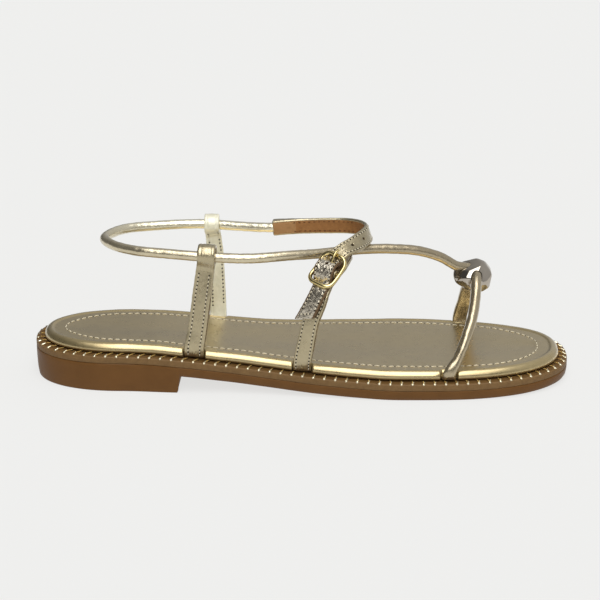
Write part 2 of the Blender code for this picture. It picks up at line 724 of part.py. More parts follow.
def make_side_strap():
    """Side strap with the keeper of the buckle's centre bar and a fold round the cord."""
    rows, x, outer = side_strap_rows()
    strap = strap_body("side_strap", sample(rows), 0, GOLD_LEATHER)
    radius = CENTRE_BAR_DIAMETER / 2 + CLEARANCE + KEEPER_WALL
    drop = -BUCKLE_BOW / 2
    backing = strap_levels()[2]
    inner = min(BUCKLE_WIDTH / 2 - BUCKLE_WIRE - 2 * CLEARANCE, SIDE_WIDTH / 2)
    for side in (-1, 1):
        start = at_buckle(side * KEEPER_SLOT / 2, 0, drop)
        end = at_buckle(side * inner, 0, drop)
        combine(strap, rod(f"keeper_{side}", start, end, radius, GOLD_LEATHER, 14), "UNION")
        middle = side * (KEEPER_SLOT / 2 + inner) / 2
        half = (inner - KEEPER_SLOT / 2) / 2
        stem = [
            row(at_buckle(middle, 0, level), buckle_axes()[1], half, 0.8 * radius, 6)
            for level in (backing, drop)
        ]
        web = strap_body(f"keeper_web_{side}", sample(stem), 0, GOLD_LEATHER, 8)
        combine(strap, web, "UNION")
    reach = BUCKLE_WIDTH
    bar_room = rod(
        "bar_room", at_buckle(-reach, 0, drop), at_buckle(reach, 0, drop),
        CENTRE_BAR_DIAMETER / 2 + CLEARANCE, GOLD_LEATHER, 14,
    )
    combine(strap, bar_room, "DIFFERENCE")
    fold_round_cord(strap, SIDE_LOOP, 0.75 * SIDE_WIDTH, SIDE_FOLD_WALL)
    return rows, x, LATERAL, outer


def make_toe_strap():
    """Rolled toe strap from one edge of the sole over the toes to the other, through the nugget."""
    radius = TOE_CORD_DIAMETER / 2
    feet = []
    rows = []
    for station, side in ((LATERAL_TOE_FOOT, LATERAL), (MEDIAL_TOE_FOOT, MEDIAL)):
        end, x, outer = foot_rows(station, side, TOE_TAB_WIDTH / 2, TAB_THICKNESS, TOE_FOOT_PROUD)
        end[4] = (*end[4][:6], 1.1 * radius, 0.55 * radius, 3)
        feet.append((end, x, side, outer))
    above = Vector((0, 0, 1))
    lateral_out = Vector((0, LATERAL, 0.35))
    for i, entry in enumerate(LATERAL_TOE_ROUTE):
        out = lateral_out.lerp(above, i / len(LATERAL_TOE_ROUTE))
        rows.append(row(spot(*entry), out, radius, radius, 2))
    rows.append(row(spot(*TOE_CROWN), above, radius, radius, 2))
    medial_out = Vector((0, MEDIAL, 0.35))
    for i, entry in enumerate(MEDIAL_TOE_ROUTE, start=1):
        out = above.lerp(medial_out, i / len(MEDIAL_TOE_ROUTE))
        rows.append(row(spot(*entry), out, radius, radius, 2))
    lateral_rows = feet[0][0] + rows
    medial_rows = feet[1][0] + rows[::-1]
    strap_body("toe_strap", sample(lateral_rows + feet[1][0][::-1]), 0, GOLD_LEATHER)
    return [(lateral_rows, *feet[0][1:]), (medial_rows, *feet[1][1:])], rows


def make_nugget(toe_rows):
    """Polished faceted nugget with the toe strap and the ankle cord running into it."""
    centre = spot(*NUGGET_SPOT)
    bm = bmesh.new()
    for along, across, up in NUGGET_CORNERS:
        offset = Vector((along * NUGGET_LENGTH, across * NUGGET_DEPTH, up * NUGGET_HEIGHT)) / 2
        bm.verts.new(centre + offset)
    hull = bmesh.ops.convex_hull(bm, input=bm.verts)
    bmesh.ops.delete(bm, geom=list(set(hull["geom_interior"])), context="VERTS")
    bmesh.ops.bevel(
        bm, geom=bm.edges, offset=NUGGET_EDGE, segments=1, affect="EDGES", clamp_overlap=True,
    )
    nugget = new_object("toe_nugget", bm, PALE_GOLD)
    combine(nugget, strap_body("toe_strap_room", sample(toe_rows), CLEARANCE, PALE_GOLD), "DIFFERENCE")
    cord = sample(ankle_rows()[:5])
    combine(nugget, strap_body("cord_room", cord, CLEARANCE, PALE_GOLD), "DIFFERENCE")


def make_buckle():
    """Rounded rectangular frame, bowed at its middle, with a centre bar."""
    half_width = (BUCKLE_WIDTH - BUCKLE_WIRE) / 2
    half_height = (BUCKLE_HEIGHT - BUCKLE_WIRE) / 2
    corner = BUCKLE_CORNER
    outline = []
    for cx, cy, start in ((1, 1, 0), (-1, 1, 90), (-1, -1, 180), (1, -1, 270)):
        for step in range(5):
            angle = math.radians(start + 22.5 * step)
            u = cx * (half_width - corner) + corner * math.cos(angle)
            v = cy * (half_height - corner) + corner * math.sin(angle)
            outline.append((u, v))
        if cy * cx < 0:
            continue
        outline.append((0, cy * half_height))
    right, up, out = buckle_axes()
    bm = bmesh.new()
    rings = []
    total = len(outline)
    for i, (u, v) in enumerate(outline):
        before = outline[i - 1]
        after = outline[(i + 1) % total]
        way = Vector((after[0] - before[0], after[1] - before[1])).normalized()
        share = (v / half_height) ** 2
        centre = at_buckle(u, v, BUCKLE_BOW * (share - 0.5))
        outward = right * way.y - up * way.x
        ring = []
        for k in range(WIRE_SIDES):
            angle = 2 * math.pi * k / WIRE_SIDES
            offset = outward * math.cos(angle) + out * math.sin(angle)
            ring.append(bm.verts.new(centre + BUCKLE_WIRE / 2 * offset))
        rings.append(ring)
    for i in range(total):
        for k in range(WIRE_SIDES):
            j = (k + 1) % WIRE_SIDES
            bm.faces.new((rings[i][k], rings[i][j], rings[(i + 1) % total][j], rings[(i + 1) % total][k]))
    frame = new_object("buckle_frame", bm, YELLOW_GOLD)
    drop = -BUCKLE_BOW / 2
    bar = rod(
        "centre_bar", at_buckle(-half_width, 0, drop), at_buckle(half_width, 0, drop),
        CENTRE_BAR_DIAMETER / 2, YELLOW_GOLD, 12,
    )
    combine(frame, bar, "UNION")


def prong_rows():
    """Rows of the prong, from its eye on the centre bar through the strap and over the top bar."""
    radius = PRONG_DIAMETER / 2
    eye = CENTRE_BAR_DIAMETER / 2 + CLEARANCE + radius
    drop = -BUCKLE_BOW / 2
    top = (BUCKLE_HEIGHT - BUCKLE_WIRE) / 2
    rest = BUCKLE_BOW / 2 + BUCKLE_WIRE / 2 + CLEARANCE + radius
    over = strap_levels()[1]
    places = (
        (0.9 * eye, drop),
        (0.42 * top, 0.35 * over),
        (0.72 * top, 0.82 * rest),
        (top, rest),
        (top + PRONG_OVERHANG, rest - radius),
    )
    right = buckle_axes()[0]
    return [row(at_buckle(0, up, out), right, radius, radius, 2) for up, out in places]


def make_prong():
    """Prong with an eye round the buckle's centre bar."""
    rows = prong_rows()
    prong = strap_body("buckle_prong", sample(rows), 0, YELLOW_GOLD, 8)
    radius = CENTRE_BAR_DIAMETER / 2 + CLEARANCE
    half = KEEPER_SLOT / 2 - CLEARANCE
    middle = at_buckle(0, 0, -BUCKLE_BOW / 2)
    reach = half * buckle_axes()[0]
    outer = radius + PRONG_DIAMETER / 2
    combine(prong, rod("prong_eye", middle - reach, middle + reach, outer, YELLOW_GOLD, 14), "UNION")
    room = rod("prong_bar_room", middle - 4 * reach, middle + 4 * reach, radius, YELLOW_GOLD, 14)
    combine(prong, room, "DIFFERENCE")
    return rows


def main():
    for thing in list(bpy.data.objects):
        bpy.data.objects.remove(thing)
    make_outsole()
    make_welt()
    feet = make_posts()
    feet.append(make_side_strap())
    toe_feet, toe_rows = make_toe_strap()
    make_insole(feet + toe_feet)
    make_nugget(toe_rows)
    make_buckle()
    make_ankle_strap(make_prong())


main()
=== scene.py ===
"""Gladiator sandal dressed for the camera: leather, welt studs, stitches, folds and polished metal."""
import math

import bmesh
import bpy
import numpy as np
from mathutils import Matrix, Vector, noise
from mathutils.bvhtree import BVHTree


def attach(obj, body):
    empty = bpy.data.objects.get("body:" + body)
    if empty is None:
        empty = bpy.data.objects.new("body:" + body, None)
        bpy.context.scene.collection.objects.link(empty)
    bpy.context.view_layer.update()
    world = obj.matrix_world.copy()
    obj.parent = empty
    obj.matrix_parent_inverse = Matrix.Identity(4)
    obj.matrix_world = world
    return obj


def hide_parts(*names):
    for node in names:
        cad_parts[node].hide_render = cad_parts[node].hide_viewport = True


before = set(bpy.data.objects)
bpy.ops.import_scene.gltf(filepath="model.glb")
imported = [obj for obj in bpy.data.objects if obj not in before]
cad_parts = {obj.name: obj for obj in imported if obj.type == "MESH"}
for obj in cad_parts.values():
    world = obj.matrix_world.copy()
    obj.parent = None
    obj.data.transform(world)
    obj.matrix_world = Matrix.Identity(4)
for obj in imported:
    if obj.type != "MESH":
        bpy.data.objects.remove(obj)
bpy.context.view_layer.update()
MM = 0.001

# Sole sizes
LENGTH = 255 * MM
HEEL_WIDTH = 61 * MM
WAIST_WIDTH = 64.2 * MM
BALL_WIDTH = 85.8 * MM
HEEL_ROUND = 41 * MM
HEEL_ROUND_POWER = 2.15
TOE_ROUND = 81.5 * MM
TOE_ROUND_POWER = 2.4
TOE_DRIFT = 3 * MM
HEEL_CENTRE = 35 * MM
HEEL_BREAST = 69.6 * MM
HEEL_LIFT = 9.4 * MM
TOE_SPRING = 1.4 * MM
OUTSOLE_THICKNESS = 4.6 * MM
OUTSOLE_TAPER = 0.9 * MM
WELT_THICKNESS = 3.4 * MM
WELT_LEDGE = 4.2 * MM
INSOLE_THICKNESS = 4.3 * MM
INSOLE_ROLL = 3.2 * MM
INSOLE_STEP = 1.5 * MM
INSOLE_SEAM = 7.5 * MM
INSOLE_END_SEAM = 10.0 * MM
INSOLE_BALL_SEAM = 8.8 * MM
TREAD_DEPTH = 0.6 * MM
TREAD_PITCH = 5.2 * MM
CLEARANCE = 0.3 * MM
SOLE_THICKNESS = OUTSOLE_THICKNESS + CLEARANCE + WELT_THICKNESS

# Strap and hardware sizes
ANKLE_HEIGHT = 66 * MM
CORD_RADIUS = 2.35 * MM
STRAP_WIDTH = 7.4 * MM
STRAP_THICKNESS = 1.8 * MM
TAIL_WIDTH = 8.3 * MM
TAIL_DRIFT = 2.4 * MM
TAIL_SLANT = 0.74
LATERAL_POST_WIDTH = 9.2 * MM
MEDIAL_POST_WIDTH = 8.0 * MM
POST_THICKNESS = 2.4 * MM
POST_FOLD_WALL = 2.0 * MM
LATERAL_FOLD_LIFT = 1.0 * MM
SIDE_WIDTH = 8.4 * MM
SIDE_THICKNESS = 2.2 * MM
SIDE_FOLD_WALL = 0.9 * MM
TOE_CORD_RADIUS = 2.5 * MM
TOE_TAB_WIDTH = 7.2 * MM
TAB_LENGTH = 8 * MM
TAB_THICKNESS = 1.6 * MM
TAB_BEND = 2.1 * MM
FOOT_PROUD = 0.5 * MM
TOE_FOOT_PROUD = 1.4 * MM
BUCKLE_WIDTH = 14.5 * MM
BUCKLE_HEIGHT = 18.5 * MM
BUCKLE_CORNER = 3.8 * MM
BUCKLE_WIRE = 2 * MM
BUCKLE_BOW = 1.4 * MM
CENTRE_BAR_RADIUS = 0.8 * MM
KEEPER_WALL = 0.8 * MM
KEEPER_SLOT = 2.6 * MM
PRONG_RADIUS = 0.65 * MM
PRONG_OVERHANG = 2.2 * MM
PUNCH_RADIUS = 0.75 * MM
PUNCH_PLACES = (-17.6 * MM, -9.6 * MM, 8.6 * MM)
NUGGET_SIZE = Vector((19.2, 16.5, 16.2)) * MM
LATERAL = -1
MEDIAL = 1

OUTLINE = (
    (0.00, 0.500 * HEEL_WIDTH, 0.500 * HEEL_WIDTH),
    (0.16, 0.502 * HEEL_WIDTH, 0.500 * HEEL_WIDTH),
    (0.28, 0.512 * WAIST_WIDTH, 0.480 * WAIST_WIDTH),
    (0.36, 0.514 * WAIST_WIDTH, 0.488 * WAIST_WIDTH),
    (0.42, 0.534 * WAIST_WIDTH, 0.502 * WAIST_WIDTH),
    (0.53, 0.448 * BALL_WIDTH, 0.436 * BALL_WIDTH),
    (0.60, 0.472 * BALL_WIDTH, 0.476 * BALL_WIDTH),
    (0.69, 0.497 * BALL_WIDTH, 0.503 * BALL_WIDTH),
    (1.00, 0.498 * BALL_WIDTH, 0.502 * BALL_WIDTH),
)
SIDE_VIEW = (
    (0.00, 1.00, 0.0), (0.15, 1.00, 0.0), (0.22, 0.97, 0.0), (0.28, 0.86, 0.0), (0.36, 0.61, 0.0),
    (0.44, 0.38, 0.0), (0.53, 0.17, 0.0), (0.61, 0.04, 0.0), (0.66, 0.00, 0.0), (0.78, 0.00, 0.0),
    (0.90, 0.00, 0.38), (1.00, 0.00, 1.0),
)
CORD_ROUTE = (
    (0.790, -0.020, 0.802), (0.763, -0.045, 0.867), (0.724, -0.090, 0.926), (0.671, -0.155, 0.960),
    (0.626, -0.215, 0.972), (0.582, -0.300, 0.976), (0.526, -0.435, 0.982), (0.478, -0.535, 0.991),
    (0.405, -0.636, 0.991), (0.327, -0.612, 0.998), (0.255, -0.540, 1.006), (0.192, -0.440, 1.010),
    (0.153, -0.255, 1.008), (0.133, 0.000, 1.006), (0.157, 0.290, 1.008), (0.238, 0.495, 1.004),
    (0.330, 0.553, 1.000), (0.380, 0.490, 0.998), (0.445, 0.405, 1.006),
)
STRAP_ROUTE = (
    (0.472, 0.390, 1.016, 0.00, 0.0), (0.505, 0.375, 1.023, 0.00, 0.0), (0.545, 0.345, 1.032, 0.00, 0.0),
    (0.588, 0.285, 1.043, 0.10, 0.0), (0.614, 0.120, 1.060, 0.25, 0.0), (0.624, -0.100, 1.070, 0.35, 0.0),
    (0.613, -0.300, 1.065, 0.50, 0.2), (0.594, -0.455, 1.048, 0.70, 0.6),
)
LATERAL_POST_ROUTE = ((0.308, -0.664, 0.455), (0.317, -0.650, 0.712))
MEDIAL_POST_ROUTE = ((0.338, 0.630, 0.530), (0.335, 0.605, 0.788))
SIDE_ROUTE = ((0.510, -0.822, 0.430), (0.518, -0.834, 0.580), (0.531, -0.825, 0.716))
LATERAL_TOE_ROUTE = (
    (0.786, -0.840, 0.276), (0.801, -0.747, 0.405), (0.814, -0.580, 0.520), (0.822, -0.370, 0.625),
    (0.826, -0.145, 0.735),
)
TOE_CROWN = (0.827, 0.045, 0.768)
MEDIAL_TOE_ROUTE = (
    (0.826, 0.235, 0.700), (0.824, 0.445, 0.590), (0.821, 0.655, 0.465), (0.817, 0.770, 0.360),
)
LATERAL_POST_FOOT = 0.301
MEDIAL_POST_FOOT = 0.340
SIDE_FOOT = 0.501
LATERAL_TOE_FOOT = 0.771
MEDIAL_TOE_FOOT = 0.807
LATERAL_POST_LOOP = 9
MEDIAL_POST_LOOP = 16
SIDE_LOOP = 5
TAIL_ROWS = (8, 6)
BUCKLE_SPOT = (0.547, -0.722, 0.924)
BUCKLE_UP = Vector((0.425, 0.575, 0.70))
BUCKLE_OUT = Vector((-0.287, -0.649, 0.707))
NUGGET_SPOT = (0.820, 0.010, 0.726)
NUGGET_CORNERS = (
    (-0.90, -0.05, 0.42), (-0.22, -0.62, 0.47), (0.36, -0.56, 0.71), (0.50, -0.18, 0.89),
    (0.18, -0.92, 0.05), (-0.42, -0.86, 0.10), (-0.98, -0.40, 0.02), (-0.86, -0.55, -0.32),
    (-0.12, -0.80, -0.66), (0.62, -0.74, -0.38), (0.97, -0.34, 0.10), (0.86, -0.22, -0.72),
    (0.45, -0.40, -0.96), (-0.30, -0.30, -0.82), (-0.95, 0.30, 0.10), (-0.50, 0.42, 0.72),
    (0.20, 0.34, 0.96), (0.66, 0.35, 0.76), (0.92, 0.30, 0.36), (0.72, 0.40, -0.70),
    (0.00, 0.86, 0.30), (-0.55, 0.80, -0.20), (0.50, 0.84, -0.15), (0.00, 0.55, -0.80),
    (-0.70, 0.35, -0.50),
)

UP = Vector((0, 0, 1))

# Steps along routes
FINE_STEP = 0.7 * MM
LOOP_STEP = 1.4 * MM
TAIL_STEP = 4.6 * MM

# Folded post ends, and how far the posts' faces are turned towards the heel
FOLD_PROUD = 0.42 * MM
FOLD_STEP = 0.5 * MM
FOLD_REACH = 14 * MM
POST_TURN = (-0.34, 0, 0)

# How far the frame is turned in its plane, as it hangs on its strap
FRAME_TURN = math.radians(8)
FRAME_INSIDE = 4.95 * MM
HUMP_SPREAD = 0.9 * MM

# Seams, as distances from a strap's edge, and their stitches
STRAP_SEAM = 1.2 * MM
POST_SEAMS = {LATERAL: 1.85 * MM, MEDIAL: 1.35 * MM}
LINING_SEAM = 1.6 * MM
LINING_START = 10 * MM
LINING_END = (0.600, 0.22, 1.05)
LINING_PITCH = 2.4 * MM
LINING_HOLE = 0.2 * MM
STITCH_PITCH = 1.95 * MM
STITCH_LENGTH = 1.15 * MM
STITCH_RISE = 0.1 * MM
CROSS_PITCH = 1.9 * MM
CROSS_LENGTH = 1.25 * MM
CROSS_ABOVE_BUCKLE = 3.6 * MM
THREAD_RADIUS = 0.2 * MM
HOLE_RADIUS = 0.42 * MM
SMALL_HOLE = 0.3 * MM
LOOK_AHEAD = 0.3 * MM
INSOLE_PITCH = 3.35 * MM
INSOLE_STITCH = 2.3 * MM
INSOLE_THREAD = 0.26 * MM
INSOLE_RISE = 0.13 * MM
PRESSED = 0.02 * MM

# Welt's beads and threads
STUDS = 112
STUD_INSET = 0.95 * MM
STUD_THREAD_LEAN = 1.2 * MM
STUD_THREAD_RADIUS = 0.18 * MM
STUD_PROFILE = (
    (-0.74, 0.10), (-0.68, 0.34), (-0.54, 0.56), (-0.32, 0.73), (-0.06, 0.82), (0.20, 0.78), (0.46, 0.62),
    (0.74, 0.46), (1.04, 0.34), (1.35, 0.26), (1.65, 0.18),
)

# Section of a flat strap: points on a face and in a corner, and where its lining lies
FACE_POINTS = 27
CORNER_POINTS = 5
LINED_FIRST = FACE_POINTS + 2 * CORNER_POINTS
LINED_LAST = LINED_FIRST + FACE_POINTS - 1
TAIL_SHEAR_ROWS = 12
STRAP_RIM = 0.75 * MM
STRAP_CROWN = 0.08 * MM
GROOVE_DEPTH = 0.12 * MM
GROOVE_SPREAD = 0.32 * MM
SIDE_GROOVE = 1.15 * MM
ANKLE_GROOVE = 1.05 * MM

# Wrinkles: amount, scale and seed
POST_WRINKLE = (0.12 * MM, 700, 3.1)
SIDE_WRINKLE = (0.12 * MM, 700, 5.3)
CORD_WRINKLE = (0.09 * MM, 520, 7.7)
STRAP_WRINKLE = (0.07 * MM, 650, 9.9)
FOIL_WRINKLE = (0.2 * MM, 900, 4.4)
TOE_WRINKLE = (0.12 * MM, 420, 2.2)

# Studio: a dim room that is darker at the heel's side, and one large soft light above the camera
FLOOR_SIZE = 6.0
FLOOR_GLOW = 0.70
SOFTBOX_STRENGTH = 4.6
ROOM_RAMP = ((0.75, 0.30, 0.59), ((0.0, 0.09), (0.33, 0.22), (0.48, 0.37), (0.63, 0.50), (1.0, 0.52)))
SOFTBOX_RAMP = ((0.0, -0.53, 0.848), ((0.0, 0.0), (0.74, 0.0), (0.86, 0.85), (1.0, 1.0)))
SOFTBOX_ENDS_RAMP = ((1.0, 0.0, 0.0), ((0.0, 1.0), (0.20, 0.85), (0.40, 0.0), (1.0, 0.0)))

# Camera fitted to the photograph
CAMERA_AZIMUTH = math.radians(-0.066)
CAMERA_ELEVATION = math.radians(19.26)
CAMERA_DISTANCE = 1.2356
CAMERA_TARGET = Vector((0.09174, -0.0032, 0.03653))
CAMERA_LENS = 155.1
CAMERA_SENSOR = 36


# ---------------------------------------------------------------- shapes shared with the solids

def hermite(t, gap, a, b, slope_a, slope_b):
    """Cubic between two values with given slopes."""
    start = (1 + 2 * t) * (1 - t) ** 2 * a + t * (1 - t) ** 2 * gap * slope_a
    return start + (t * t * (3 - 2 * t) * b + t * t * (t - 1) * gap * slope_b)


def blend(rows, column, station):
    """Value in a column of a table, on a smooth curve that doesn't overshoot."""
    xs = [row[0] for row in rows]
    ys = [row[column] for row in rows]
    gaps = np.diff(xs)
    slopes = np.diff(ys) / gaps
    tangents = np.zeros(len(xs))
    for i in range(1, len(xs) - 1):
        if slopes[i - 1] * slopes[i] > 0:
            tangents[i] = 2 * slopes[i - 1] * slopes[i] / (slopes[i - 1] + slopes[i])
    station = min(max(station, xs[0]), xs[-1])
    i = min(int(np.searchsorted(xs, station, side="right")) - 1, len(gaps) - 1)
    return float(hermite((station - xs[i]) / gaps[i], gaps[i], ys[i], ys[i + 1], tangents[i], tangents[i + 1]))


def round_end(distance, length, power):
    t = min(max(distance / length, 0), 1)
    return (1 - (1 - t) ** power) ** (1 / power)


def seat(x):
    """Height of the welt's top at x."""
    station = (x + HEEL_CENTRE) / LENGTH
    lift = HEEL_LIFT * blend(SIDE_VIEW, 1, station)
    return SOLE_THICKNESS + lift + TOE_SPRING * blend(SIDE_VIEW, 2, station)


def edge(station, side, inset):
    """Point in plan on the outline, moved inwards by inset."""
    column = 1 if side == LATERAL else 2
    x = inset + station * (LENGTH - 2 * inset) - HEEL_CENTRE
    width = blend(OUTLINE, column, station) - inset
    width *= round_end(station * LENGTH, HEEL_ROUND, HEEL_ROUND_POWER)
    width *= round_end((1 - station) * LENGTH, TOE_ROUND, TOE_ROUND_POWER)
    turn = max(0, (station - 1) * LENGTH / TOE_ROUND + 1)
    return x, side * width - TOE_DRIFT * turn * turn * (3 - 2 * turn)


def spot(station, side, height):
    return Vector((station * LENGTH - HEEL_CENTRE, side * BALL_WIDTH / 2, height * ANKLE_HEIGHT))


def buckle_axes():
    up = BUCKLE_UP.normalized()
    out = (BUCKLE_OUT - BUCKLE_OUT.dot(up) * up).normalized()
    return out.cross(up) * -1, up, out


def frame_axes():
    right, up, out = buckle_axes()
    turned = up * math.cos(FRAME_TURN) + right * math.sin(FRAME_TURN)
    return right * math.cos(FRAME_TURN) - up * math.sin(FRAME_TURN), turned, out


def at_buckle(right, up, out, axes=buckle_axes()):
    return spot(*BUCKLE_SPOT) + right * axes[0] + up * axes[1] + out * axes[2]


def at_frame(right, up, out):
    return at_buckle(right, up, out, frame_axes())


def row(point, normal, half_width, half_thickness, power):
    return (*point, *normal, half_width, half_thickness, power)


def level_rows(points, half_width, half_thickness, power):
    rows = []
    for i, point in enumerate(points):
        way = points[min(i + 1, len(points) - 1)] - points[max(i - 1, 0)]
        rows.append(row(point, UP.cross(way).normalized(), half_width, half_thickness, power))
    return rows


def sample(rows, step=FINE_STEP, least=2):
    """Close rows along the smooth curve through a list of rows."""
    table = np.array(rows, dtype=float)
    points = table[:, :3]
    gaps = np.maximum(np.linalg.norm(np.diff(points, axis=0), axis=1), 1e-6)
    slopes = np.diff(points, axis=0) / gaps[:, None]
    tangents = np.empty_like(points)
    tangents[0] = slopes[0]
    tangents[-1] = slopes[-1]
    before = gaps[:-1, None]
    after = gaps[1:, None]
    tangents[1:-1] = (slopes[:-1] * after + slopes[1:] * before) / (before + after)
    close = []
    for i, gap in enumerate(gaps):
        steps = max(least, math.ceil(gap / step))
        for k in range(steps):
            t = k / steps
            mixed = table[i] * (1 - t) + table[i + 1] * t
            mixed[:3] = hermite(t, gap, points[i], points[i + 1], tangents[i], tangents[i + 1])
            close.append(mixed)
    close.append(table[-1])
    return np.array(close)


def unit(vectors):
    return vectors / np.linalg.norm(vectors, axis=-1)[..., None]


def travel(points):
    """Distance along a polyline at each of its points."""
    return np.concatenate(([0], np.cumsum(np.linalg.norm(np.diff(points, axis=0), axis=1))))


def between(targets, travelled, values):
    """Points or directions at distances along a polyline."""
    return np.stack([np.interp(targets, travelled, values[:, k]) for k in range(3)], axis=-1)


def frames(close):
    """Tangent, side and outward directions at each close row."""
    tangents = unit(np.gradient(close[:, :3], axis=0))
    sides = unit(np.cross(tangents, close[:, 3:6]))
    return tangents, sides, np.cross(sides, tangents)


def settle(close, passes):
    """Close rows with their directions and sizes evened out along the route."""
    close = close.copy()
    for _ in range(passes):
        close[1:-1, 3:8] = (close[:-2, 3:8] + 2 * close[1:-1, 3:8] + close[2:, 3:8]) / 4
    return close


def foot_rows(station, side, half_width, thickness, proud):
    x = station * LENGTH - HEEL_CENTRE
    inner = (station * LENGTH - WELT_LEDGE) / (LENGTH - 2 * WELT_LEDGE)
    outer = abs(edge(inner, side, WELT_LEDGE)[1]) + proud
    slope = (seat(x + half_width) - seat(x - half_width)) / (2 * half_width)
    down = Vector((slope, 0, -1)).normalized()
    out = Vector((0, side, 0))
    half = thickness / 2
    low = seat(x) + (CLEARANCE + half) / -down.z
    upright = outer - half
    turn = upright - TAB_BEND
    diagonal = TAB_BEND * math.sqrt(0.5)
    places = (
        (turn - TAB_LENGTH, low, down), (turn - TAB_BEND, low, down), (turn, low, down),
        (turn + diagonal, low + TAB_BEND - diagonal, out + down), (upright, low + TAB_BEND, out),
    )
    return [row((x, side * reach, height), normal, half_width, half, 5) for reach, height, normal in places]


def cord_points():
    return [spot(*entry) for entry in CORD_ROUTE]


def cord_way(index):
    points = cord_points()
    return (points[index + 1] - points[index - 1]).normalized()


def strap_levels():
    half = STRAP_THICKNESS / 2
    behind = (BUCKLE_BOW - BUCKLE_WIRE) / 2 - CLEARANCE - half
    over = CENTRE_BAR_RADIUS - BUCKLE_BOW / 2 + KEEPER_WALL + 2 * CLEARANCE + half
    backing = behind - half - CLEARANCE - SIDE_THICKNESS / 2
    return behind, over, backing


def side_strap_rows():
    half_width = SIDE_WIDTH / 2
    half = SIDE_THICKNESS / 2
    rows = foot_rows(SIDE_FOOT, LATERAL, half_width, SIDE_THICKNESS, FOOT_PROUD)
    outs = (Vector((-0.46, -0.88, 0.02)), Vector((-0.54, -0.83, 0.12)), Vector((-0.50, -0.80, 0.30)))
    for entry, out in zip(SIDE_ROUTE, outs):
        rows.append(row(spot(*entry), out, half_width, half, 5))
    backing = strap_levels()[2]
    face = buckle_axes()[2]
    bar = BUCKLE_HEIGHT / 2 - BUCKLE_WIRE / 2
    for up, deeper, reach in (
        (-1.15 * bar, CLEARANCE, half_width),
        (-0.6 * bar, CLEARANCE, FRAME_INSIDE),
        (0, 0, FRAME_INSIDE),
        (0.6 * bar, 0.6 * SIDE_THICKNESS, FRAME_INSIDE),
    ):
        place = at_frame if reach == FRAME_INSIDE else at_buckle
        rows.append(row(place(0, up, backing - deeper), face, reach, half, 5))
    loop = cord_points()[SIDE_LOOP]
    out = cord_way(SIDE_LOOP).cross(loop - Vector(rows[-1][:3])).normalized()
    out *= math.copysign(1, out.dot(face))
    rows.append(row(loop, out, half_width, half, 5))
    return rows


def cord_and_strap_rows():
    """Rows of the rolled cord, and of the flat strap with its tail."""
    points = cord_points()
    crown = spot(*TOE_CROWN)
    way = (points[0] - crown).normalized()
    points.insert(0, crown + way * (TOE_CORD_RADIUS + 4 * CLEARANCE))
    flat = [spot(*entry[:3]) for entry in STRAP_ROUTE]
    half = STRAP_THICKNESS / 2
    rows = level_rows(points + flat, CORD_RADIUS, CORD_RADIUS, 2)
    sewn = len(points)
    face = buckle_axes()[2]
    widths = np.linspace(STRAP_WIDTH, TAIL_WIDTH, len(flat)) / 2
    for i, (entry, half_width) in enumerate(zip(STRAP_ROUTE, widths), start=sewn):
        leaning = (Vector(rows[i][3:6]) + Vector((0, 0, entry[3]))).normalized()
        rows[i] = row(rows[i][:3], leaning.lerp(face, entry[4]), half_width, half, 5)
    seam = points[-1].lerp(flat[0], 0.15)
    cord = rows[:sewn] + [row(flat[0], rows[sewn][3:6], 0.9 * CORD_RADIUS, 0.55 * CORD_RADIUS, 2)]
    strap = [row(seam, rows[sewn][3:6], STRAP_WIDTH / 2, 0.98 * CORD_RADIUS, 4)]
    strap.append(row(rows[sewn][:3], rows[sewn][3:6], STRAP_WIDTH / 2, 0.8 * CORD_RADIUS, 4))
    strap += rows[sewn + 1:]
    behind, over = strap_levels()[:2]
    bar = BUCKLE_HEIGHT / 2 - BUCKLE_WIRE / 2
    low = behind + 0.1 * (over - behind)
    high = behind + 0.76 * (over - behind)
    for place in (
        (0.25 * STRAP_WIDTH, 1.5 * bar, behind - 0.3 * STRAP_THICKNESS),
        (0.03 * STRAP_WIDTH, bar, behind),
        (0, 0.7 * bar, low),
        (0, 0.34 * bar, high),
        (0, 0, over),
        (0, -0.34 * bar, high),
        (0, -0.7 * bar, low),
        (0, -bar, behind),
    ):
        hump = HUMP_SPREAD * (1 - (place[1] / bar) ** 2) if abs(place[1]) < bar else 0
        right, up, out = place
        strap.append(row(at_buckle(right - 0.6 * hump, up, out), face, TAIL_WIDTH / 2 + hump, half, 5))
    return cord, strap + tail_rows()


def tail_rows():
    rows = side_strap_rows()
    close = sample(rows, TAIL_STEP)
    sides, outs = frames(close)[1:]
    places = [np.linalg.norm(close[:, :3] - rows[i][:3], axis=1) for i in TAIL_ROWS]
    above, below = [int(np.argmin(distances)) for distances in places]
    offset = (SIDE_THICKNESS + STRAP_THICKNESS) / 2 + 1.5 * CLEARANCE
    lines = []
    for i in reversed(range(below, above, 2)):
        drift = TAIL_DRIFT * (above - i) / (above - below)
        point = close[i, :3] + offset * outs[i] - drift * sides[i]
        lines.append(row(point, outs[i], TAIL_WIDTH / 2, STRAP_THICKNESS / 2, 5))
    return lines


def prong_rows():
    eye = CENTRE_BAR_RADIUS + CLEARANCE + PRONG_RADIUS
    top = (BUCKLE_HEIGHT - BUCKLE_WIRE) / 2
    rest = BUCKLE_BOW / 2 + BUCKLE_WIRE / 2 + CLEARANCE + PRONG_RADIUS
    over = strap_levels()[1]
    places = (
        (0.9 * eye, -BUCKLE_BOW / 2),
        (0.42 * top, 0.35 * over),
        (0.72 * top, 0.82 * rest),
        (top, rest),
        (top + PRONG_OVERHANG, rest - PRONG_RADIUS),
    )
    right = frame_axes()[0]
    return [row(at_frame(0, up, out), right, PRONG_RADIUS, PRONG_RADIUS, 2) for up, out in places]


# ---------------------------------------------------------------- materials

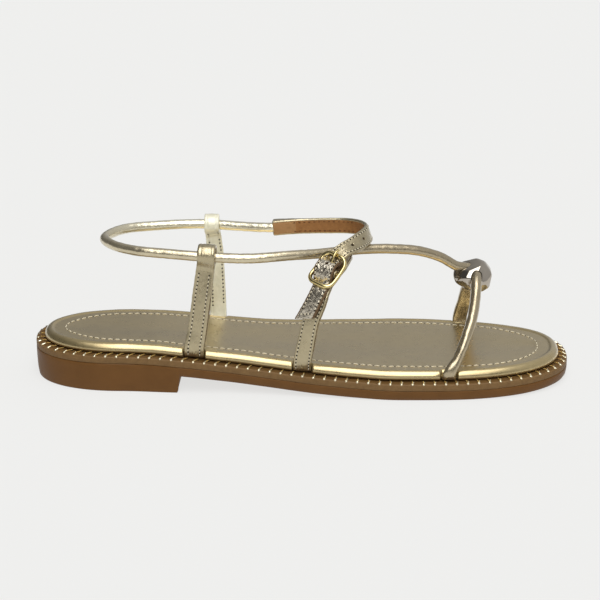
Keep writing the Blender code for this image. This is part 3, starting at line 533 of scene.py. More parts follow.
def node(tree, kind, inputs=(), **settings):
    made = tree.nodes.new("ShaderNode" + kind)
    for key, value in settings.items():
        setattr(made, key, value)
    for key, value in dict(inputs).items():
        made.inputs[key].default_value = value
    return made


def link(tree, source, output, target, entry):
    tree.links.new(source.outputs[output], target.inputs[entry])


def ranged(tree, source, output, span, values):
    """A node's output between two limits, turned into a value between two others."""
    made = node(tree, "MapRange", dict(zip(("From Min", "From Max", "To Min", "To Max"), (*span, *values))))
    link(tree, source, output, made, "Value")
    return made


def material(name, roughness, metallic=0.0, coat=0.0):
    """Empty material and its shader, with the values that are the same all over."""
    made = bpy.data.materials.new(name)
    made.use_nodes = True
    tree = made.node_tree
    shader = tree.nodes["Principled BSDF"]
    shader.inputs["Roughness"].default_value = roughness
    shader.inputs["Metallic"].default_value = metallic
    shader.inputs["Coat Weight"].default_value = coat
    shader.inputs["Coat Roughness"].default_value = 0.25
    return made, tree, shader


def mottled(tree, shader, tones, scale, detail=5.0):
    """Base colour that wanders between two tones."""
    place = node(tree, "TexCoord")
    spots = node(tree, "TexNoise", {"Scale": scale, "Detail": detail, "Roughness": 0.6})
    ramp = node(tree, "ValToRGB")
    for element, position, tone in zip(ramp.color_ramp.elements, MOTTLING, tones):
        element.position = position
        element.color = (*tone, 1)
    link(tree, place, "Object", spots, "Vector")
    link(tree, spots, "Fac", ramp, "Fac")
    link(tree, ramp, "Color", shader, "Base Color")
    return place, spots


def relief(tree, shader, place, layers):
    """Bump from several layers, each a kind, a scale, a strength and a depth in metres."""
    before = None
    for kind, scale, strength, depth in layers:
        if kind == "cells":
            grain = node(tree, "TexVoronoi", {"Scale": scale, "Randomness": 1.0}, feature="DISTANCE_TO_EDGE")
        else:
            grain = node(tree, "TexNoise", {"Scale": scale, "Detail": 4.0, "Roughness": 0.65})
        bump = node(tree, "Bump", {"Strength": strength, "Distance": depth})
        link(tree, place, "Object", grain, "Vector")
        link(tree, grain, "Distance" if kind == "cells" else "Fac", bump, "Height")
        if before:
            link(tree, before, "Normal", bump, "Normal")
        before = bump
    link(tree, before, "Normal", shader, "Normal")


def surface(made, tree, shader, tones, gloss, scale, layers, detail=5.0):
    """Colour and gloss that wander together over a material, with bump."""
    place, spots = mottled(tree, shader, tones, scale, detail)
    link(tree, ranged(tree, spots, "Fac", MOTTLING, gloss), "Result", shader, "Roughness")
    relief(tree, shader, place, layers)
    return made


def gold_leather(name, tones, gloss, layers, metallic=0.86):
    return surface(*material(name, gloss[0], metallic, 1.0), tones, gloss, 260, layers)


def plain_mottled(name, tones, roughness, scale, layers):
    made, tree, shader = material(name, roughness)
    shader.inputs["Specular IOR Level"].default_value = 0.22
    return surface(made, tree, shader, tones, (roughness - 0.06, roughness + 0.08), scale, layers)


def metal(name, tones, gloss, waves):
    layers = (("noise", waves, 0.06, 0.0003), ("noise", 5200, 0.03, 0.0001))
    return surface(*material(name, gloss[0], 1.0), tones, gloss, 180, layers, 3.0)


def paint_light_and_shade(made, light_and_shade_tints):
    """Painted light and shade: let a leather's colour drift towards paler and darker tones along given
    directions.
    """
    tree = made.node_tree
    shader = tree.nodes["Principled BSDF"]
    place = node(tree, "TexCoord")
    for axis, start, stop, tone in light_and_shade_tints:
        before = shader.inputs["Base Color"].links[0].from_socket
        reach = node(tree, "VectorMath", {1: axis}, operation="DOT_PRODUCT")
        mix = node(tree, "Mix", data_type="RGBA")
        mix.inputs[7].default_value = (*tone, 1)
        link(tree, place, "Object", reach, 0)
        link(tree, ranged(tree, reach, "Value", (start, stop), (0, 0.85)), "Result", mix, 0)
        tree.links.new(before, mix.inputs[6])
        link(tree, mix, 2, shader, "Base Color")


MOTTLING = (0.3, 0.7)
STRAP_GRAIN = (("cells", 900, 0.35, 0.0002), ("noise", 3200, 0.35, 0.0002))
TWIST = (("noise", 9000, 0.4, 0.0002),)
STRAP_GOLD = gold_leather("strap_gold", ((0.40, 0.335, 0.20), (0.485, 0.41, 0.25)), (0.24, 0.34), STRAP_GRAIN)
# Painted light: the medial post is the strap's gold leather painted pale cream, brighter and less metallic, as
# a painted reflection of bright light.
LIT_POST_GOLD = gold_leather(
    "strap_gold_painted_light", ((0.78, 0.745, 0.55), (0.92, 0.88, 0.69)), (0.30, 0.40), STRAP_GRAIN, 0.12,
)
FOIL_GOLD = gold_leather(
    "strap_foil", ((0.44, 0.39, 0.30), (0.70, 0.63, 0.51)), (0.10, 0.20),
    (("cells", 400, 0.75, 0.0006), ("noise", 1300, 0.55, 0.0004)), 0.95,
)
CORD_GOLD = gold_leather(
    "cord_gold", ((0.56, 0.48, 0.32), (0.67, 0.59, 0.41)), (0.18, 0.26),
    (("cells", 1100, 0.24, 0.00018), ("noise", 3600, 0.28, 0.00018)),
)
# Painted light and shade on the cords: paler towards the far side, darker towards the toe and towards the heel.
paint_light_and_shade(CORD_GOLD, (
    ((0, 1, 0), -0.004, 0.022, (0.88, 0.83, 0.64)),
    ((1, 0, 0), 0.075, 0.125, (0.39, 0.315, 0.195)),
    ((-1, 0, 0), 0.006, 0.016, (0.43, 0.355, 0.225)),
))
INSOLE_GOLD = gold_leather(
    "insole_gold", ((0.475, 0.370, 0.175), (0.525, 0.412, 0.205)), (0.26, 0.32),
    (("noise", 900, 0.08, 0.00012), ("noise", 3600, 0.08, 0.0001)),
)
LINING = plain_mottled(
    "lining_tan", ((0.275, 0.125, 0.040), (0.35, 0.165, 0.056)), 0.72, 500,
    (("noise", 2600, 0.3, 0.0002),),
)
PALE_LINING = plain_mottled(
    "lining_pale", ((0.35, 0.185, 0.072), (0.42, 0.23, 0.095)), 0.66, 400,
    (("noise", 2200, 0.35, 0.0002),),
)
WELT = plain_mottled(
    "welt_brown", ((0.150, 0.082, 0.029), (0.200, 0.115, 0.043)), 0.55, 420,
    (("noise", 1500, 0.3, 0.0003), ("noise", 5200, 0.2, 0.0002)),
)
WELT_TOP = plain_mottled(
    "welt_top", ((0.110, 0.055, 0.014), (0.150, 0.078, 0.022)), 0.6, 700,
    (("noise", 2400, 0.4, 0.0003),),
)
OUTSOLE = plain_mottled(
    "outsole_brown", ((0.124, 0.052, 0.0095), (0.146, 0.063, 0.0135)), 0.46, 120,
    (("noise", 700, 0.10, 0.0003), ("noise", 4200, 0.14, 0.0002)),
)
THREAD = plain_mottled("thread_cream", ((0.66, 0.59, 0.42), (0.80, 0.73, 0.56)), 0.5, 3000, TWIST)
BROWN_THREAD = plain_mottled("thread_brown", ((0.075, 0.028, 0.009), (0.11, 0.044, 0.014)), 0.55, 3000, TWIST)
GOLD_THREAD = plain_mottled("thread_gold", ((0.50, 0.31, 0.08), (0.66, 0.44, 0.14)), 0.42, 3000, TWIST)
# Painted shade: near-black domes stand for the shade inside needle holes and thread holes.
NEEDLE_HOLE_SHADE = plain_mottled(
    "needle_hole_painted_shade", ((0.012, 0.008, 0.004), (0.024, 0.016, 0.008)), 0.8, 2000, (("noise", 5000, 0.2, 0.0001),),
)
EDGE_BROWN = plain_mottled(
    "edge_paint", ((0.10, 0.060, 0.028), (0.15, 0.09, 0.045)), 0.5, 900, (("noise", 3000, 0.3, 0.0002),),
)
STUD_METAL = metal("stud_metal", ((0.84, 0.76, 0.52), (0.94, 0.87, 0.66)), (0.22, 0.34), 900)
BUCKLE_METAL = metal("buckle_metal", ((0.62, 0.50, 0.22), (0.74, 0.61, 0.30)), (0.12, 0.20), 300)
NUGGET_METAL = metal("nugget_metal", ((0.43, 0.385, 0.33), (0.52, 0.47, 0.40)), (0.05, 0.10), 160)


# ---------------------------------------------------------------- mesh making

def face_outwards(mesh):
    bm = bmesh.new()
    bm.from_mesh(mesh)
    bmesh.ops.recalc_face_normals(bm, faces=bm.faces)
    bm.to_mesh(mesh)
    bm.free()


def piece(name, verts, faces, materials, replaced=(), indices=None):
    """Mesh object that rides on the sandal."""
    mesh = bpy.data.meshes.new(name)
    mesh.from_pydata([tuple(v) for v in verts], [], [tuple(int(i) for i in f) for f in faces])
    for made in materials:
        mesh.materials.append(made)
    if indices is not None:
        mesh.polygons.foreach_set("material_index", np.asarray(indices, dtype=np.int32))
    face_outwards(mesh)
    mesh.shade_smooth()
    mesh.set_sharp_from_angle(angle=math.radians(50))
    thing = bpy.data.objects.new(name, mesh)
    bpy.context.scene.collection.objects.link(thing)
    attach(thing, "root")
    if replaced:
        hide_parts(*replaced)
    return thing


def swept(name, rings, made, replaced=()):
    piece(name, rings.reshape(-1, 3), loft(rings), [made], replaced)


def loft(rings, caps=True, start=0):
    """Faces between successive closed rings of the same count."""
    total, count = rings.shape[:2]
    faces = []
    for i in range(total - 1):
        for k in range(count):
            n = (k + 1) % count
            a, b = start + i * count, start + (i + 1) * count
            faces.append((a + k, a + n, b + n, b + k))
    if caps:
        faces.append(tuple(range(start, start + count)))
        faces.append(tuple(start + (total - 1) * count + k for k in range(count)))
    return faces


def flat_section(half_width, half_thickness, seam):
    """Section of a stitched flat strap: rounded rims, crowned face, pressed seam lines. Front first."""
    radius = min(0.95 * half_thickness, STRAP_RIM)
    flat = half_width - radius
    top = []
    for u in np.linspace(flat, -flat, FACE_POINTS):
        rise = STRAP_CROWN * (1 - (u / half_width) ** 2)
        dip = GROOVE_DEPTH * math.exp(-(((abs(u) - (half_width - seam)) / GROOVE_SPREAD) ** 2))
        top.append((u, half_thickness + rise - dip))
    corner = []
    for angle in np.radians(np.linspace(100, 170, CORNER_POINTS)):
        corner.append((-flat + radius * math.cos(angle), half_thickness - radius + radius * math.sin(angle)))
    left = corner + [(u, -v) for u, v in reversed(corner)]
    bottom = [(u, -v) for u, v in reversed(top)]
    right = [(-u, -v) for u, v in left]
    return np.array(top + left + bottom + right)


def round_section(half_width, half_thickness, power, count=32):
    angles = 2 * np.pi * (np.arange(count) + 0.5) / count
    c, s = np.cos(angles), np.sin(angles)
    u = half_width * np.copysign(np.abs(c) ** (2 / power), c)
    v = half_thickness * np.copysign(np.abs(s) ** (2 / power), s)
    return np.stack([u, v], axis=1)


def rings_along(close, section, cap=(0, 0), slant=0):
    """Rings of a swept section, with rounded ends of the given radii."""
    tangents, sides, outs = frames(close)
    last = len(close) - 1

    def ring(i, shift=0, shrink=0):
        shape = section(close[i])
        if shrink:
            reach = np.abs(shape)
            shape = np.sign(shape) * np.maximum(reach - shrink * np.minimum(reach / close[i, 6:8], 1), PRESSED)
        lean = slant * max(0, 1 - (last - i) / TAIL_SHEAR_ROWS)
        centre = close[i, :3] + shift * tangents[i]
        across = sides[i] + lean * tangents[i]
        return centre + shape[:, :1] * across + shape[:, 1:] * outs[i]

    rings = [ring(i) for i in range(len(close))]
    for angle in np.radians((20, 40, 60, 80)):
        if cap[0]:
            rings.insert(0, ring(0, -cap[0] * math.sin(angle), cap[0] * (1 - math.cos(angle))))
        if cap[1]:
            rings.append(ring(last, cap[1] * math.sin(angle), cap[1] * (1 - math.cos(angle))))
    return np.array(rings)


def wrinkle(rings, amount, scale, seed):
    """Push points in and out with smooth noise."""
    shape = rings.shape
    centres = rings.mean(axis=1, keepdims=True)
    flat = rings.reshape(-1, 3)
    ways = unit(rings - centres).reshape(-1, 3)
    shift = Vector((seed, 2 * seed, 3 * seed))
    pushes = np.array([noise.noise(Vector(p) * scale + shift) for p in flat])
    return (flat + ways * (amount * pushes)[:, None]).reshape(shape)


class Batch:
    """Many small copies of templates, joined in one mesh."""

    def __init__(self):
        self.verts = []
        self.faces = []
        self.count = 0

    def add(self, template, origin, x_way, y_way, z_way):
        points, faces = template
        placed = np.asarray(origin) + points[:, :1] * x_way + points[:, 1:2] * y_way + points[:, 2:] * z_way
        self.verts.append(placed)
        self.faces += [tuple(self.count + i for i in face) for face in faces]
        self.count += len(points)

    def make(self, name, made, slot):
        piece(name, np.concatenate(self.verts), self.faces, [made])


def circle(count):
    turns = 2 * np.pi * np.arange(count) / count
    return np.cos(turns), np.sin(turns)


def stitch_template(length, radius, rise, sides=8, steps=8):
    """Short thread that comes up out of one needle hole and dives into the next, along x."""
    rings = []
    c, s = circle(sides)
    for t in np.arange(steps + 1) / steps:
        bow = max(0, math.sin(math.pi * t))
        z = rise * bow ** 0.6 - 0.35 * radius * (1 - bow)
        size = radius * (0.7 + 0.3 * bow)
        rings.append(np.stack([np.full(sides, length * (t - 0.5)), size * c, z + size * s], axis=1))
    rings = np.array(rings)
    return rings.reshape(-1, 3), loft(rings)


def dome_template(radius, flatness, sides=12, steps=6):
    """Low dome on the plane z = 0."""
    rings = []
    c, s = circle(sides)
    for angle in np.radians(np.linspace(-12, 84, steps + 1)):
        r = radius * math.cos(angle)
        rings.append(np.stack([r * c, r * s, np.full(sides, flatness * radius * math.sin(angle))], axis=1))
    rings = np.array(rings)
    return rings.reshape(-1, 3), loft(rings)


def drop_template(sides=14):
    """Bead that narrows into its thread, along x."""
    c, s = circle(sides)
    rings = np.array([np.stack([np.full(sides, x), r * c, r * s], axis=1) * MM for x, r in STUD_PROFILE])
    return rings.reshape(-1, 3), loft(rings)


def sew(batches, line, normals, pitch, length, radius, first=0.0, last=None, rise=STITCH_RISE, hole=SMALL_HOLE):
    """A run of stitches, and the needle holes between them, on a line whose outward normals are given."""
    threads, holes = batches
    travelled = travel(line)
    targets = np.arange(first, travelled[-1] if last is None else last, pitch)
    ways = between(targets + LOOK_AHEAD, travelled, line) - between(targets - LOOK_AHEAD, travelled, line)
    thread = stitch_template(length, radius, rise)
    pit = dome_template(hole, 0.25)
    places = between(targets, travelled, line)
    for place, way, up in zip(places, unit(ways), unit(between(targets, travelled, normals))):
        across = unit(np.cross(up, way))
        up = np.cross(way, across)
        threads.add(thread, place, way, across, up)
        # Each needle hole is a near-black dome of painted shade.
        holes.add(pit, place + way * pitch / 2 + up * PRESSED, way, across, up)


# ---------------------------------------------------------------- sole

FEET = (
    (LATERAL_POST_FOOT, LATERAL, LATERAL_POST_WIDTH / 2, 2.7 * MM),
    (MEDIAL_POST_FOOT, MEDIAL, MEDIAL_POST_WIDTH / 2, 2.7 * MM),
    (SIDE_FOOT, LATERAL, SIDE_WIDTH / 2, 2.6 * MM),
    (LATERAL_TOE_FOOT, LATERAL, TOE_TAB_WIDTH / 2, 2.3 * MM),
    (MEDIAL_TOE_FOOT, MEDIAL, TOE_TAB_WIDTH / 2, 2.3 * MM),
)
DENT_SPREAD = 0.55 * MM
DENT_INSET = 5.4 * MM

# Padding: insets of its rings in millimetres, how far in the dents reach, how deep it bowls, and its ripples
INSOLE_INSETS = (
    0.0, 0.04, 0.16, 0.4, 0.75, 1.15, 1.6, 2.1, 2.6, 3.1, 3.4, 3.7, 3.95, 4.2, 4.45, 4.75, 5.2, 5.8, 6.4, 7.2,
    8.2, 9.4, 11.0,
)
INSOLE_GIVE = 7 * MM
INSOLE_BOWL = 0.45 * MM
INSOLE_RIPPLES = ((95, 0.10 * MM), (420, 0.03 * MM))


def fine_stations():
    heel = HEEL_ROUND / LENGTH * (1 - np.cos(np.radians(np.linspace(1.5, 88, 26))))
    toe = 1 - TOE_ROUND / LENGTH * (1 - np.cos(np.radians(np.linspace(88, 1.5, 40))))
    middle = np.linspace(heel[-1], toe[0], 96)[1:-1]
    stations = [heel, middle, toe]
    for foot, _, half_width, _ in FEET:
        for side in (-1, 1):
            beside = half_width + np.array((-0.9, -0.5, -0.2, 0.1, 0.4, 0.7, 1.0, 1.4)) * MM
            middle = (foot * LENGTH - DENT_INSET) / (LENGTH - 2 * DENT_INSET)
            stations.append(middle + side * beside / (LENGTH - 2 * DENT_INSET))
    stations = np.sort(np.concatenate(stations))
    keep = np.concatenate(([True], np.diff(stations) > 0.12 * MM / LENGTH))
    return stations[keep]


FINE = fine_stations()


def dent(x, side):
    """How far the insole's edge gives way behind the straps."""
    push = 0.0
    for foot, foot_side, half_width, depth in FEET:
        if foot_side == side:
            gap = (abs(x + HEEL_CENTRE - foot * LENGTH) - half_width + 0.2 * MM) / DENT_SPREAD
            push = max(push, depth * (1 if gap < 0 else math.exp(-gap * gap)))
    return push


def outline_ring(inset, height, give=0.0, stations=FINE):
    """Closed ring round the sole, lateral side first."""
    ring = []
    for side, half in ((LATERAL, stations), (MEDIAL, stations[::-1])):
        for s in half:
            x, y = edge(s, side, inset)
            if give:
                y = edge(s, side, inset + give * dent(x, side))[1]
            ring.append((x, y, height(x)))
    return np.array(ring)


def strips(count, start=0):
    """Faces across a ring, from its lateral to its medial half."""
    half = count // 2
    return [
        (start + i, start + i + 1, start + count - 2 - i, start + count - 1 - i) for i in range(half - 1)
    ]


def slab(levels, stations=FINE):
    """Rings and faces of a closed board, from levels that are each an inset and a height over x."""
    rings = np.array([outline_ring(inset, height, 0, stations) for inset, height in levels])
    count = rings.shape[1]
    return rings, loft(rings, caps=False) + strips(count) + strips(count, (len(levels) - 1) * count)


def make_outsole():
    breast = HEEL_BREAST - HEEL_CENTRE
    slant = 0.7 * MM

    def underside(x):
        turn = min(max((x - breast + slant) / (2 * slant), 0), 1)
        return max(seat(x) - SOLE_THICKNESS, 0) * turn * turn * (3 - 2 * turn)

    def above(share):
        def height(x):
            low = underside(x)
            return low + share * (seat(x) - WELT_THICKNESS - 0.05 * MM - low)
        return height

    cuts = (HEEL_BREAST + np.array((-1.6, -0.9, -0.55, -0.3, 0.0, 0.3, 0.55, 0.9, 1.6)) * MM) / LENGTH
    stations = np.sort(np.concatenate([FINE[np.abs(FINE - HEEL_BREAST / LENGTH) > 2.2 * MM / LENGTH], cuts]))
    rounding = 0.7 * MM
    rim = OUTSOLE_TAPER + rounding + 2.6 * MM
    levels = [
        (rim + 0.5 * MM, lambda x: underside(x) + TREAD_DEPTH),
        (rim + 0.2 * MM, lambda x: underside(x) + TREAD_DEPTH),
        (rim, lambda x: underside(x) + 0.2 * TREAD_DEPTH),
        (rim - 0.2 * MM, underside),
        (OUTSOLE_TAPER + rounding, underside),
    ]
    for angle in np.radians((20, 45, 70, 90)):
        inset = OUTSOLE_TAPER + rounding * (1 - math.sin(angle))
        lift = rounding * (1 - math.cos(angle))
        levels.append((inset, lambda x, lift=lift: underside(x) + lift))
    for share in (0.25, 0.4, 0.55, 0.7, 0.85):
        levels.append((OUTSOLE_TAPER * (1 - share) ** 2 * 0.9, above(share)))
    levels += [(0.02 * MM, above(0.96)), (0.14 * MM, above(0.99)), (0.45 * MM, above(1.0))]
    rings, faces = slab(levels, stations)
    piece("outsole_moulded", rings.reshape(-1, 3), faces, [OUTSOLE], ("outsole",))
    # Bars of tread, level with the rim.
    verts, faces = [], []
    section = ((-0.5, 1.1), (-0.34, 0.12), (-0.26, 0.0), (0.26, 0.0), (0.34, 0.12), (0.5, 1.1))
    for x in np.arange(-HEEL_CENTRE + 7 * MM, LENGTH - HEEL_CENTRE - 8 * MM, TREAD_PITCH):
        if abs(x - breast) < 3 * MM:
            continue
        station = (x + HEEL_CENTRE - rim) / (LENGTH - 2 * rim)
        near, far = (edge(station, side, rim)[1] for side in (LATERAL, MEDIAL))
        bars = []
        for y in np.linspace(near + 0.3 * MM, far - 0.3 * MM, 15):
            shift = 1.2 * MM * math.sin(2 * math.pi * y / (22 * MM))
            bars.append([
                (x + shift + u * TREAD_PITCH, y, underside(x + shift) + v * TREAD_DEPTH) for u, v in section
            ])
        bars = np.array(bars)
        faces += loft(bars, start=len(verts))
        verts += list(bars.reshape(-1, 3))
    piece("outsole_tread", verts, faces, [OUTSOLE])


def make_welt():
    def level(drop):
        return lambda x: seat(x) - drop

    levels = [(0.6 * MM, level(WELT_THICKNESS)), (0.16 * MM, level(WELT_THICKNESS - 0.08 * MM))]
    levels += [(0.02 * MM, level(WELT_THICKNESS - 0.35 * MM)), (0, level(1.7 * MM)), (0, level(0.9 * MM))]
    outside = len(levels) + 2
    for angle in np.radians((15, 40, 65, 90)):
        levels.append((0.8 * MM * (1 - math.cos(angle)), level(0.8 * MM * (1 - math.sin(angle)))))
    levels.append((2.2 * MM, level(-0.02 * MM)))
    levels.append((WELT_LEDGE - 0.4 * MM, level(0.15 * MM)))
    levels.append((WELT_LEDGE + 1.5 * MM, level(0.3 * MM)))
    rings, faces = slab(levels)
    count = rings.shape[1]
    indices = np.zeros(len(faces), dtype=int)
    indices[outside * count:(len(levels) - 1) * count] = 1
    piece("welt_board", rings.reshape(-1, 3), faces, [WELT, WELT_TOP], ("welt",), indices)


def insole_height(distance):
    """Share of the insole's height at a distance inside its edge."""
    if distance < INSOLE_ROLL:
        t = 1 - distance / INSOLE_ROLL
        return 0.30 + 0.74 * math.sqrt(max(0, 1 - t * t))
    fall = min(1, (distance - INSOLE_ROLL) / INSOLE_STEP)
    return 1.04 - 0.11 * fall * fall * (3 - 2 * fall)


def make_insole():
    base = WELT_LEDGE
    levels = [(1.3 * MM, 0.02, 1.0), (0.45 * MM, 0.05, 1.0), (0.12 * MM, 0.12, 1.0), (0.02 * MM, 0.21, 1.0)]
    for distance in INSOLE_INSETS:
        levels.append((distance * MM, insole_height(distance * MM), max(0, 1 - distance * MM / INSOLE_GIVE)))
    rings = np.array([
        outline_ring(base + inset, lambda x, share=share: seat(x) + CLEARANCE + share * INSOLE_THICKNESS, give)
        for inset, share, give in levels
    ])
    count = rings.shape[1]
    verts = list(rings.reshape(-1, 3))
    faces = loft(rings, caps=False) + strips(count)
    inner = rings[-1]
    half = count // 2
    columns = 22
    start = len(verts)
    last = (len(rings) - 1) * count
    for i in range(half):
        a, b = inner[i], inner[count - 1 - i]
        for k in range(1, columns):
            t = k / columns
            point = a * (1 - t) + b * t
            bowl = math.sin(math.pi * t) ** 2 * min(1, abs(b[1] - a[1]) / (40 * MM))
            point[2] -= INSOLE_BOWL * bowl
            verts.append(point)

    def at(i, k):
        if k == 0:
            return last + i
        if k == columns:
            return last + count - 1 - i
        return start + i * (columns - 1) + k - 1

    for i in range(half - 1):
        for k in range(columns):
            faces.append((at(i, k), at(i + 1, k), at(i + 1, k + 1), at(i, k + 1)))
    verts = np.array(verts)
    # The padded leather is drawn a little unevenly over its filler.
    for point in verts:
        if point[2] > seat(point[0]) + 0.4 * INSOLE_THICKNESS:
            point[2] += sum(noise.noise(Vector(point) * scale) * amount for scale, amount in INSOLE_RIPPLES)
    insole = piece("insole_padded", verts, faces, [INSOLE_GOLD], ("insole",))
    threads, holes = Batch(), Batch()
    shell = BVHTree.FromPolygons([tuple(v) for v in verts], faces)
    line, normals = [], []
    for side, stations in ((LATERAL, FINE), (MEDIAL, FINE[::-1])):
        for s in stations:
            ends = math.exp(-((min(s, 1 - s) * LENGTH / (16 * MM)) ** 2))
            ball = math.exp(-(((s - 0.68) / 0.22) ** 2)) if side == LATERAL else 0
            inset = base + INSOLE_SEAM + (INSOLE_END_SEAM - INSOLE_SEAM) * ends
            inset += (INSOLE_BALL_SEAM - INSOLE_SEAM) * ball * (1 - ends)
            x, y = edge(s, side, inset)
            place, normal = shell.ray_cast(Vector((x, y, ANKLE_HEIGHT)), -UP)[:2]
            line.append(tuple(place))
            normals.append(tuple(normal if normal.z > 0 else -normal))
    line = np.array(line + line[:1])
    normals = np.array(normals + normals[:1])
    sew((threads, holes), line, normals, INSOLE_PITCH, INSOLE_STITCH, INSOLE_THREAD, rise=INSOLE_RISE)
    threads.make("insole_stitches", THREAD, "insole_leather")
    holes.make("insole_needle_holes", NEEDLE_HOLE_SHADE, "insole_leather")


def make_studs():
    """Beads on the welt's outer edge, each with a thread slanting up to the insole."""
    outer = outline_ring(STUD_INSET, lambda x: seat(x) - 0.40 * MM)
    inner = outline_ring(WELT_LEDGE - 0.1 * MM, lambda x: seat(x) + 0.30 * MM)
    outer = np.concatenate([outer, outer[:1]])
    inner = np.concatenate([inner, inner[:1]])
    travelled = travel(outer)
    total = travelled[-1]
    beads, threads, marks = Batch(), Batch(), Batch()
    bead = drop_template()
    # The thread holes at the insole's edge are near-black domes of painted shade.
    mark = dome_template(HOLE_RADIUS, 0.3, sides=10, steps=4)
    for i in range(STUDS):
        target = (i + 0.35) * total / STUDS
        here = between(target, travelled, outer)
        way = unit(between((target + 0.5 * MM) % total, travelled, outer) - here)
        inward = unit(np.cross((0, 0, 1), way))
        up = np.cross(way, inward)
        point = unit(0.35 * way + 0.75 * inward + 0.62 * up)
        level = unit(way - np.dot(way, point) * point)
        beads.add(bead, here - 0.1 * MM * inward, point, level, np.cross(point, level))
        end = between((target + STUD_THREAD_LEAN) % total, travelled, inner)
        rise = end - here
        x_way = unit(rise)
        y_way = unit(np.cross((0, 0, 1), x_way))
        z_way = np.cross(x_way, y_way)
        thread = stitch_template(np.linalg.norm(rise), STUD_THREAD_RADIUS, 0.34 * MM, sides=7, steps=6)
        threads.add(thread, here + rise / 2 + z_way * 0.16 * MM, x_way, y_way, z_way)
        marks.add(mark, end - rise * 0.05 - z_way * 0.3 * MM, way, inward, up)
    beads.make("welt_studs", STUD_METAL, "welt_brown")
    threads.make("welt_threads", GOLD_THREAD, "welt_brown")
    marks.make("welt_thread_holes", NEEDLE_HOLE_SHADE, "welt_brown")


# ---------------------------------------------------------------- straps

def flat(seam):
    return lambda line: flat_section(line[6], line[7], seam)


def oval(line):
    return round_section(line[6], line[7], line[8])


def loop_path(rows, centre, way, out, radius, layer, width_top):
    """Rows that rise on the outer side of a strap's middle line, go round the cord and come down inside."""
    close = sample(rows, LOOP_STEP)
    up = unit(np.cross(np.array(out), np.array(way)))
    if up[2] < 0:
        up = -up
    out = unit(np.array(out))
    rising, falling, arc = [], [], []
    for line, outward in zip(close, frames(close)[2]):
        if np.dot(line[:3] - centre, up) < -1.25 * radius:
            for layers, ahead in ((rising, outward), (falling, -outward)):
                place = line[:3] + (layer / 2 + PRESSED) * ahead
                layers.append(np.array(row(place, ahead, line[6], layer / 2, line[8])))
    for angle in np.radians(np.linspace(-8, 188, 15)):
        radial = math.cos(angle) * out + math.sin(angle) * up
        arc.append(np.array(row(centre + radius * radial, radial, width_top / 2, layer / 2, 5)))
    return settle(sample(rising + arc + falling[::-1], FINE_STEP, 1), 3)


def turned_in(close, first, last):
    """Thicken a folded strap between two distances, where its end is turned in under the fold."""
    travelled = travel(close[:, :3])
    share = np.clip((travelled - first) / FOLD_STEP, 0, 1) * np.clip((last - travelled) / FOLD_STEP, 0, 1)
    outs = frames(close)[2]
    close = close.copy()
    close[:, :3] += 0.5 * FOLD_PROUD * share[:, None] * outs
    close[:, 7] += 0.5 * FOLD_PROUD * share
    return close


def sew_strap(batches, close, seam, first, last, sign=1, pitch=STITCH_PITCH, hole=HOLE_RADIUS):
    """Two rows of stitches on a strap's outer or inner face, between two distances along it."""
    _, sides, outs = frames(close)
    for side in (-1, 1):
        offset = side * (close[:, 6] - seam)[:, None] * sides
        line = close[:, :3] + offset + sign * (close[:, 7] - PRESSED)[:, None] * outs
        sew(batches, line, sign * outs, pitch, STITCH_LENGTH, THREAD_RADIUS, first, last, hole=hole)


def distance_at(close, point):
    """Distance along a strap to its place nearest to a point."""
    nearest = np.argmin(np.linalg.norm(close[:, :3] - np.array(point), axis=1))
    return float(travel(close[:, :3])[nearest])


def make_filler(name, rows):
    """Brown edge of the filler between a strap's two layers."""
    core = [(*line[:6], line[6] + 0.03 * MM, 0.2 * MM, 3) for line in rows[3:]]
    swept(name, rings_along(sample(core), oval), EDGE_BROWN)


def make_posts(batches):
    half = POST_THICKNESS / 2
    for name, station, side, route, index, width, lift in (
        ("heel_post_lateral", LATERAL_POST_FOOT, LATERAL, LATERAL_POST_ROUTE, LATERAL_POST_LOOP,
         LATERAL_POST_WIDTH, LATERAL_FOLD_LIFT),
        ("heel_post_medial", MEDIAL_POST_FOOT, MEDIAL, MEDIAL_POST_ROUTE, MEDIAL_POST_LOOP,
         MEDIAL_POST_WIDTH, 0),
    ):
        rows = foot_rows(station, side, width / 2, POST_THICKNESS, FOOT_PROUD)
        loop = cord_points()[index]
        way = cord_way(index) * (1 if cord_way(index).x > 0 else -1)
        top_out = Vector((-way.y, way.x, 0)).normalized() * side
        for i, entry in enumerate(route):
            out = Vector((0, side, 0)).lerp(top_out, (i + 1) / (len(route) + 1)) + Vector(POST_TURN)
            rows.append(row(spot(*entry), out, width / 2, half, 5))
        rows.append(row(loop, top_out, 0.45 * width, half, 5))
        centre = np.array(loop) + np.array((0, 0, lift))
        radius = CORD_RADIUS + CLEARANCE + POST_FOLD_WALL - half / 2
        close = loop_path(rows, centre, way, top_out, radius, half, 0.9 * width)
        total = travel(close[:, :3])[-1]
        top = distance_at(close, centre + np.array((0, 0, radius)))
        foot = distance_at(close, rows[4][:3])
        close = turned_in(close, top - FOLD_REACH, top + FOLD_REACH)
        seam = POST_SEAMS[side]
        rings = wrinkle(rings_along(close, flat(seam)), *POST_WRINKLE)
        # The medial post wears the gold leather with painted light.
        swept(f"{name}_leather", rings, LIT_POST_GOLD if side == MEDIAL else STRAP_GOLD, (name,))
        make_filler(f"{name}_filler", rows[:-1])
        plain = FOLD_REACH + 0.6 * MM
        sew_strap(batches, close, seam, foot, top - plain)
        sew_strap(batches, close, seam, top + plain, total - foot)


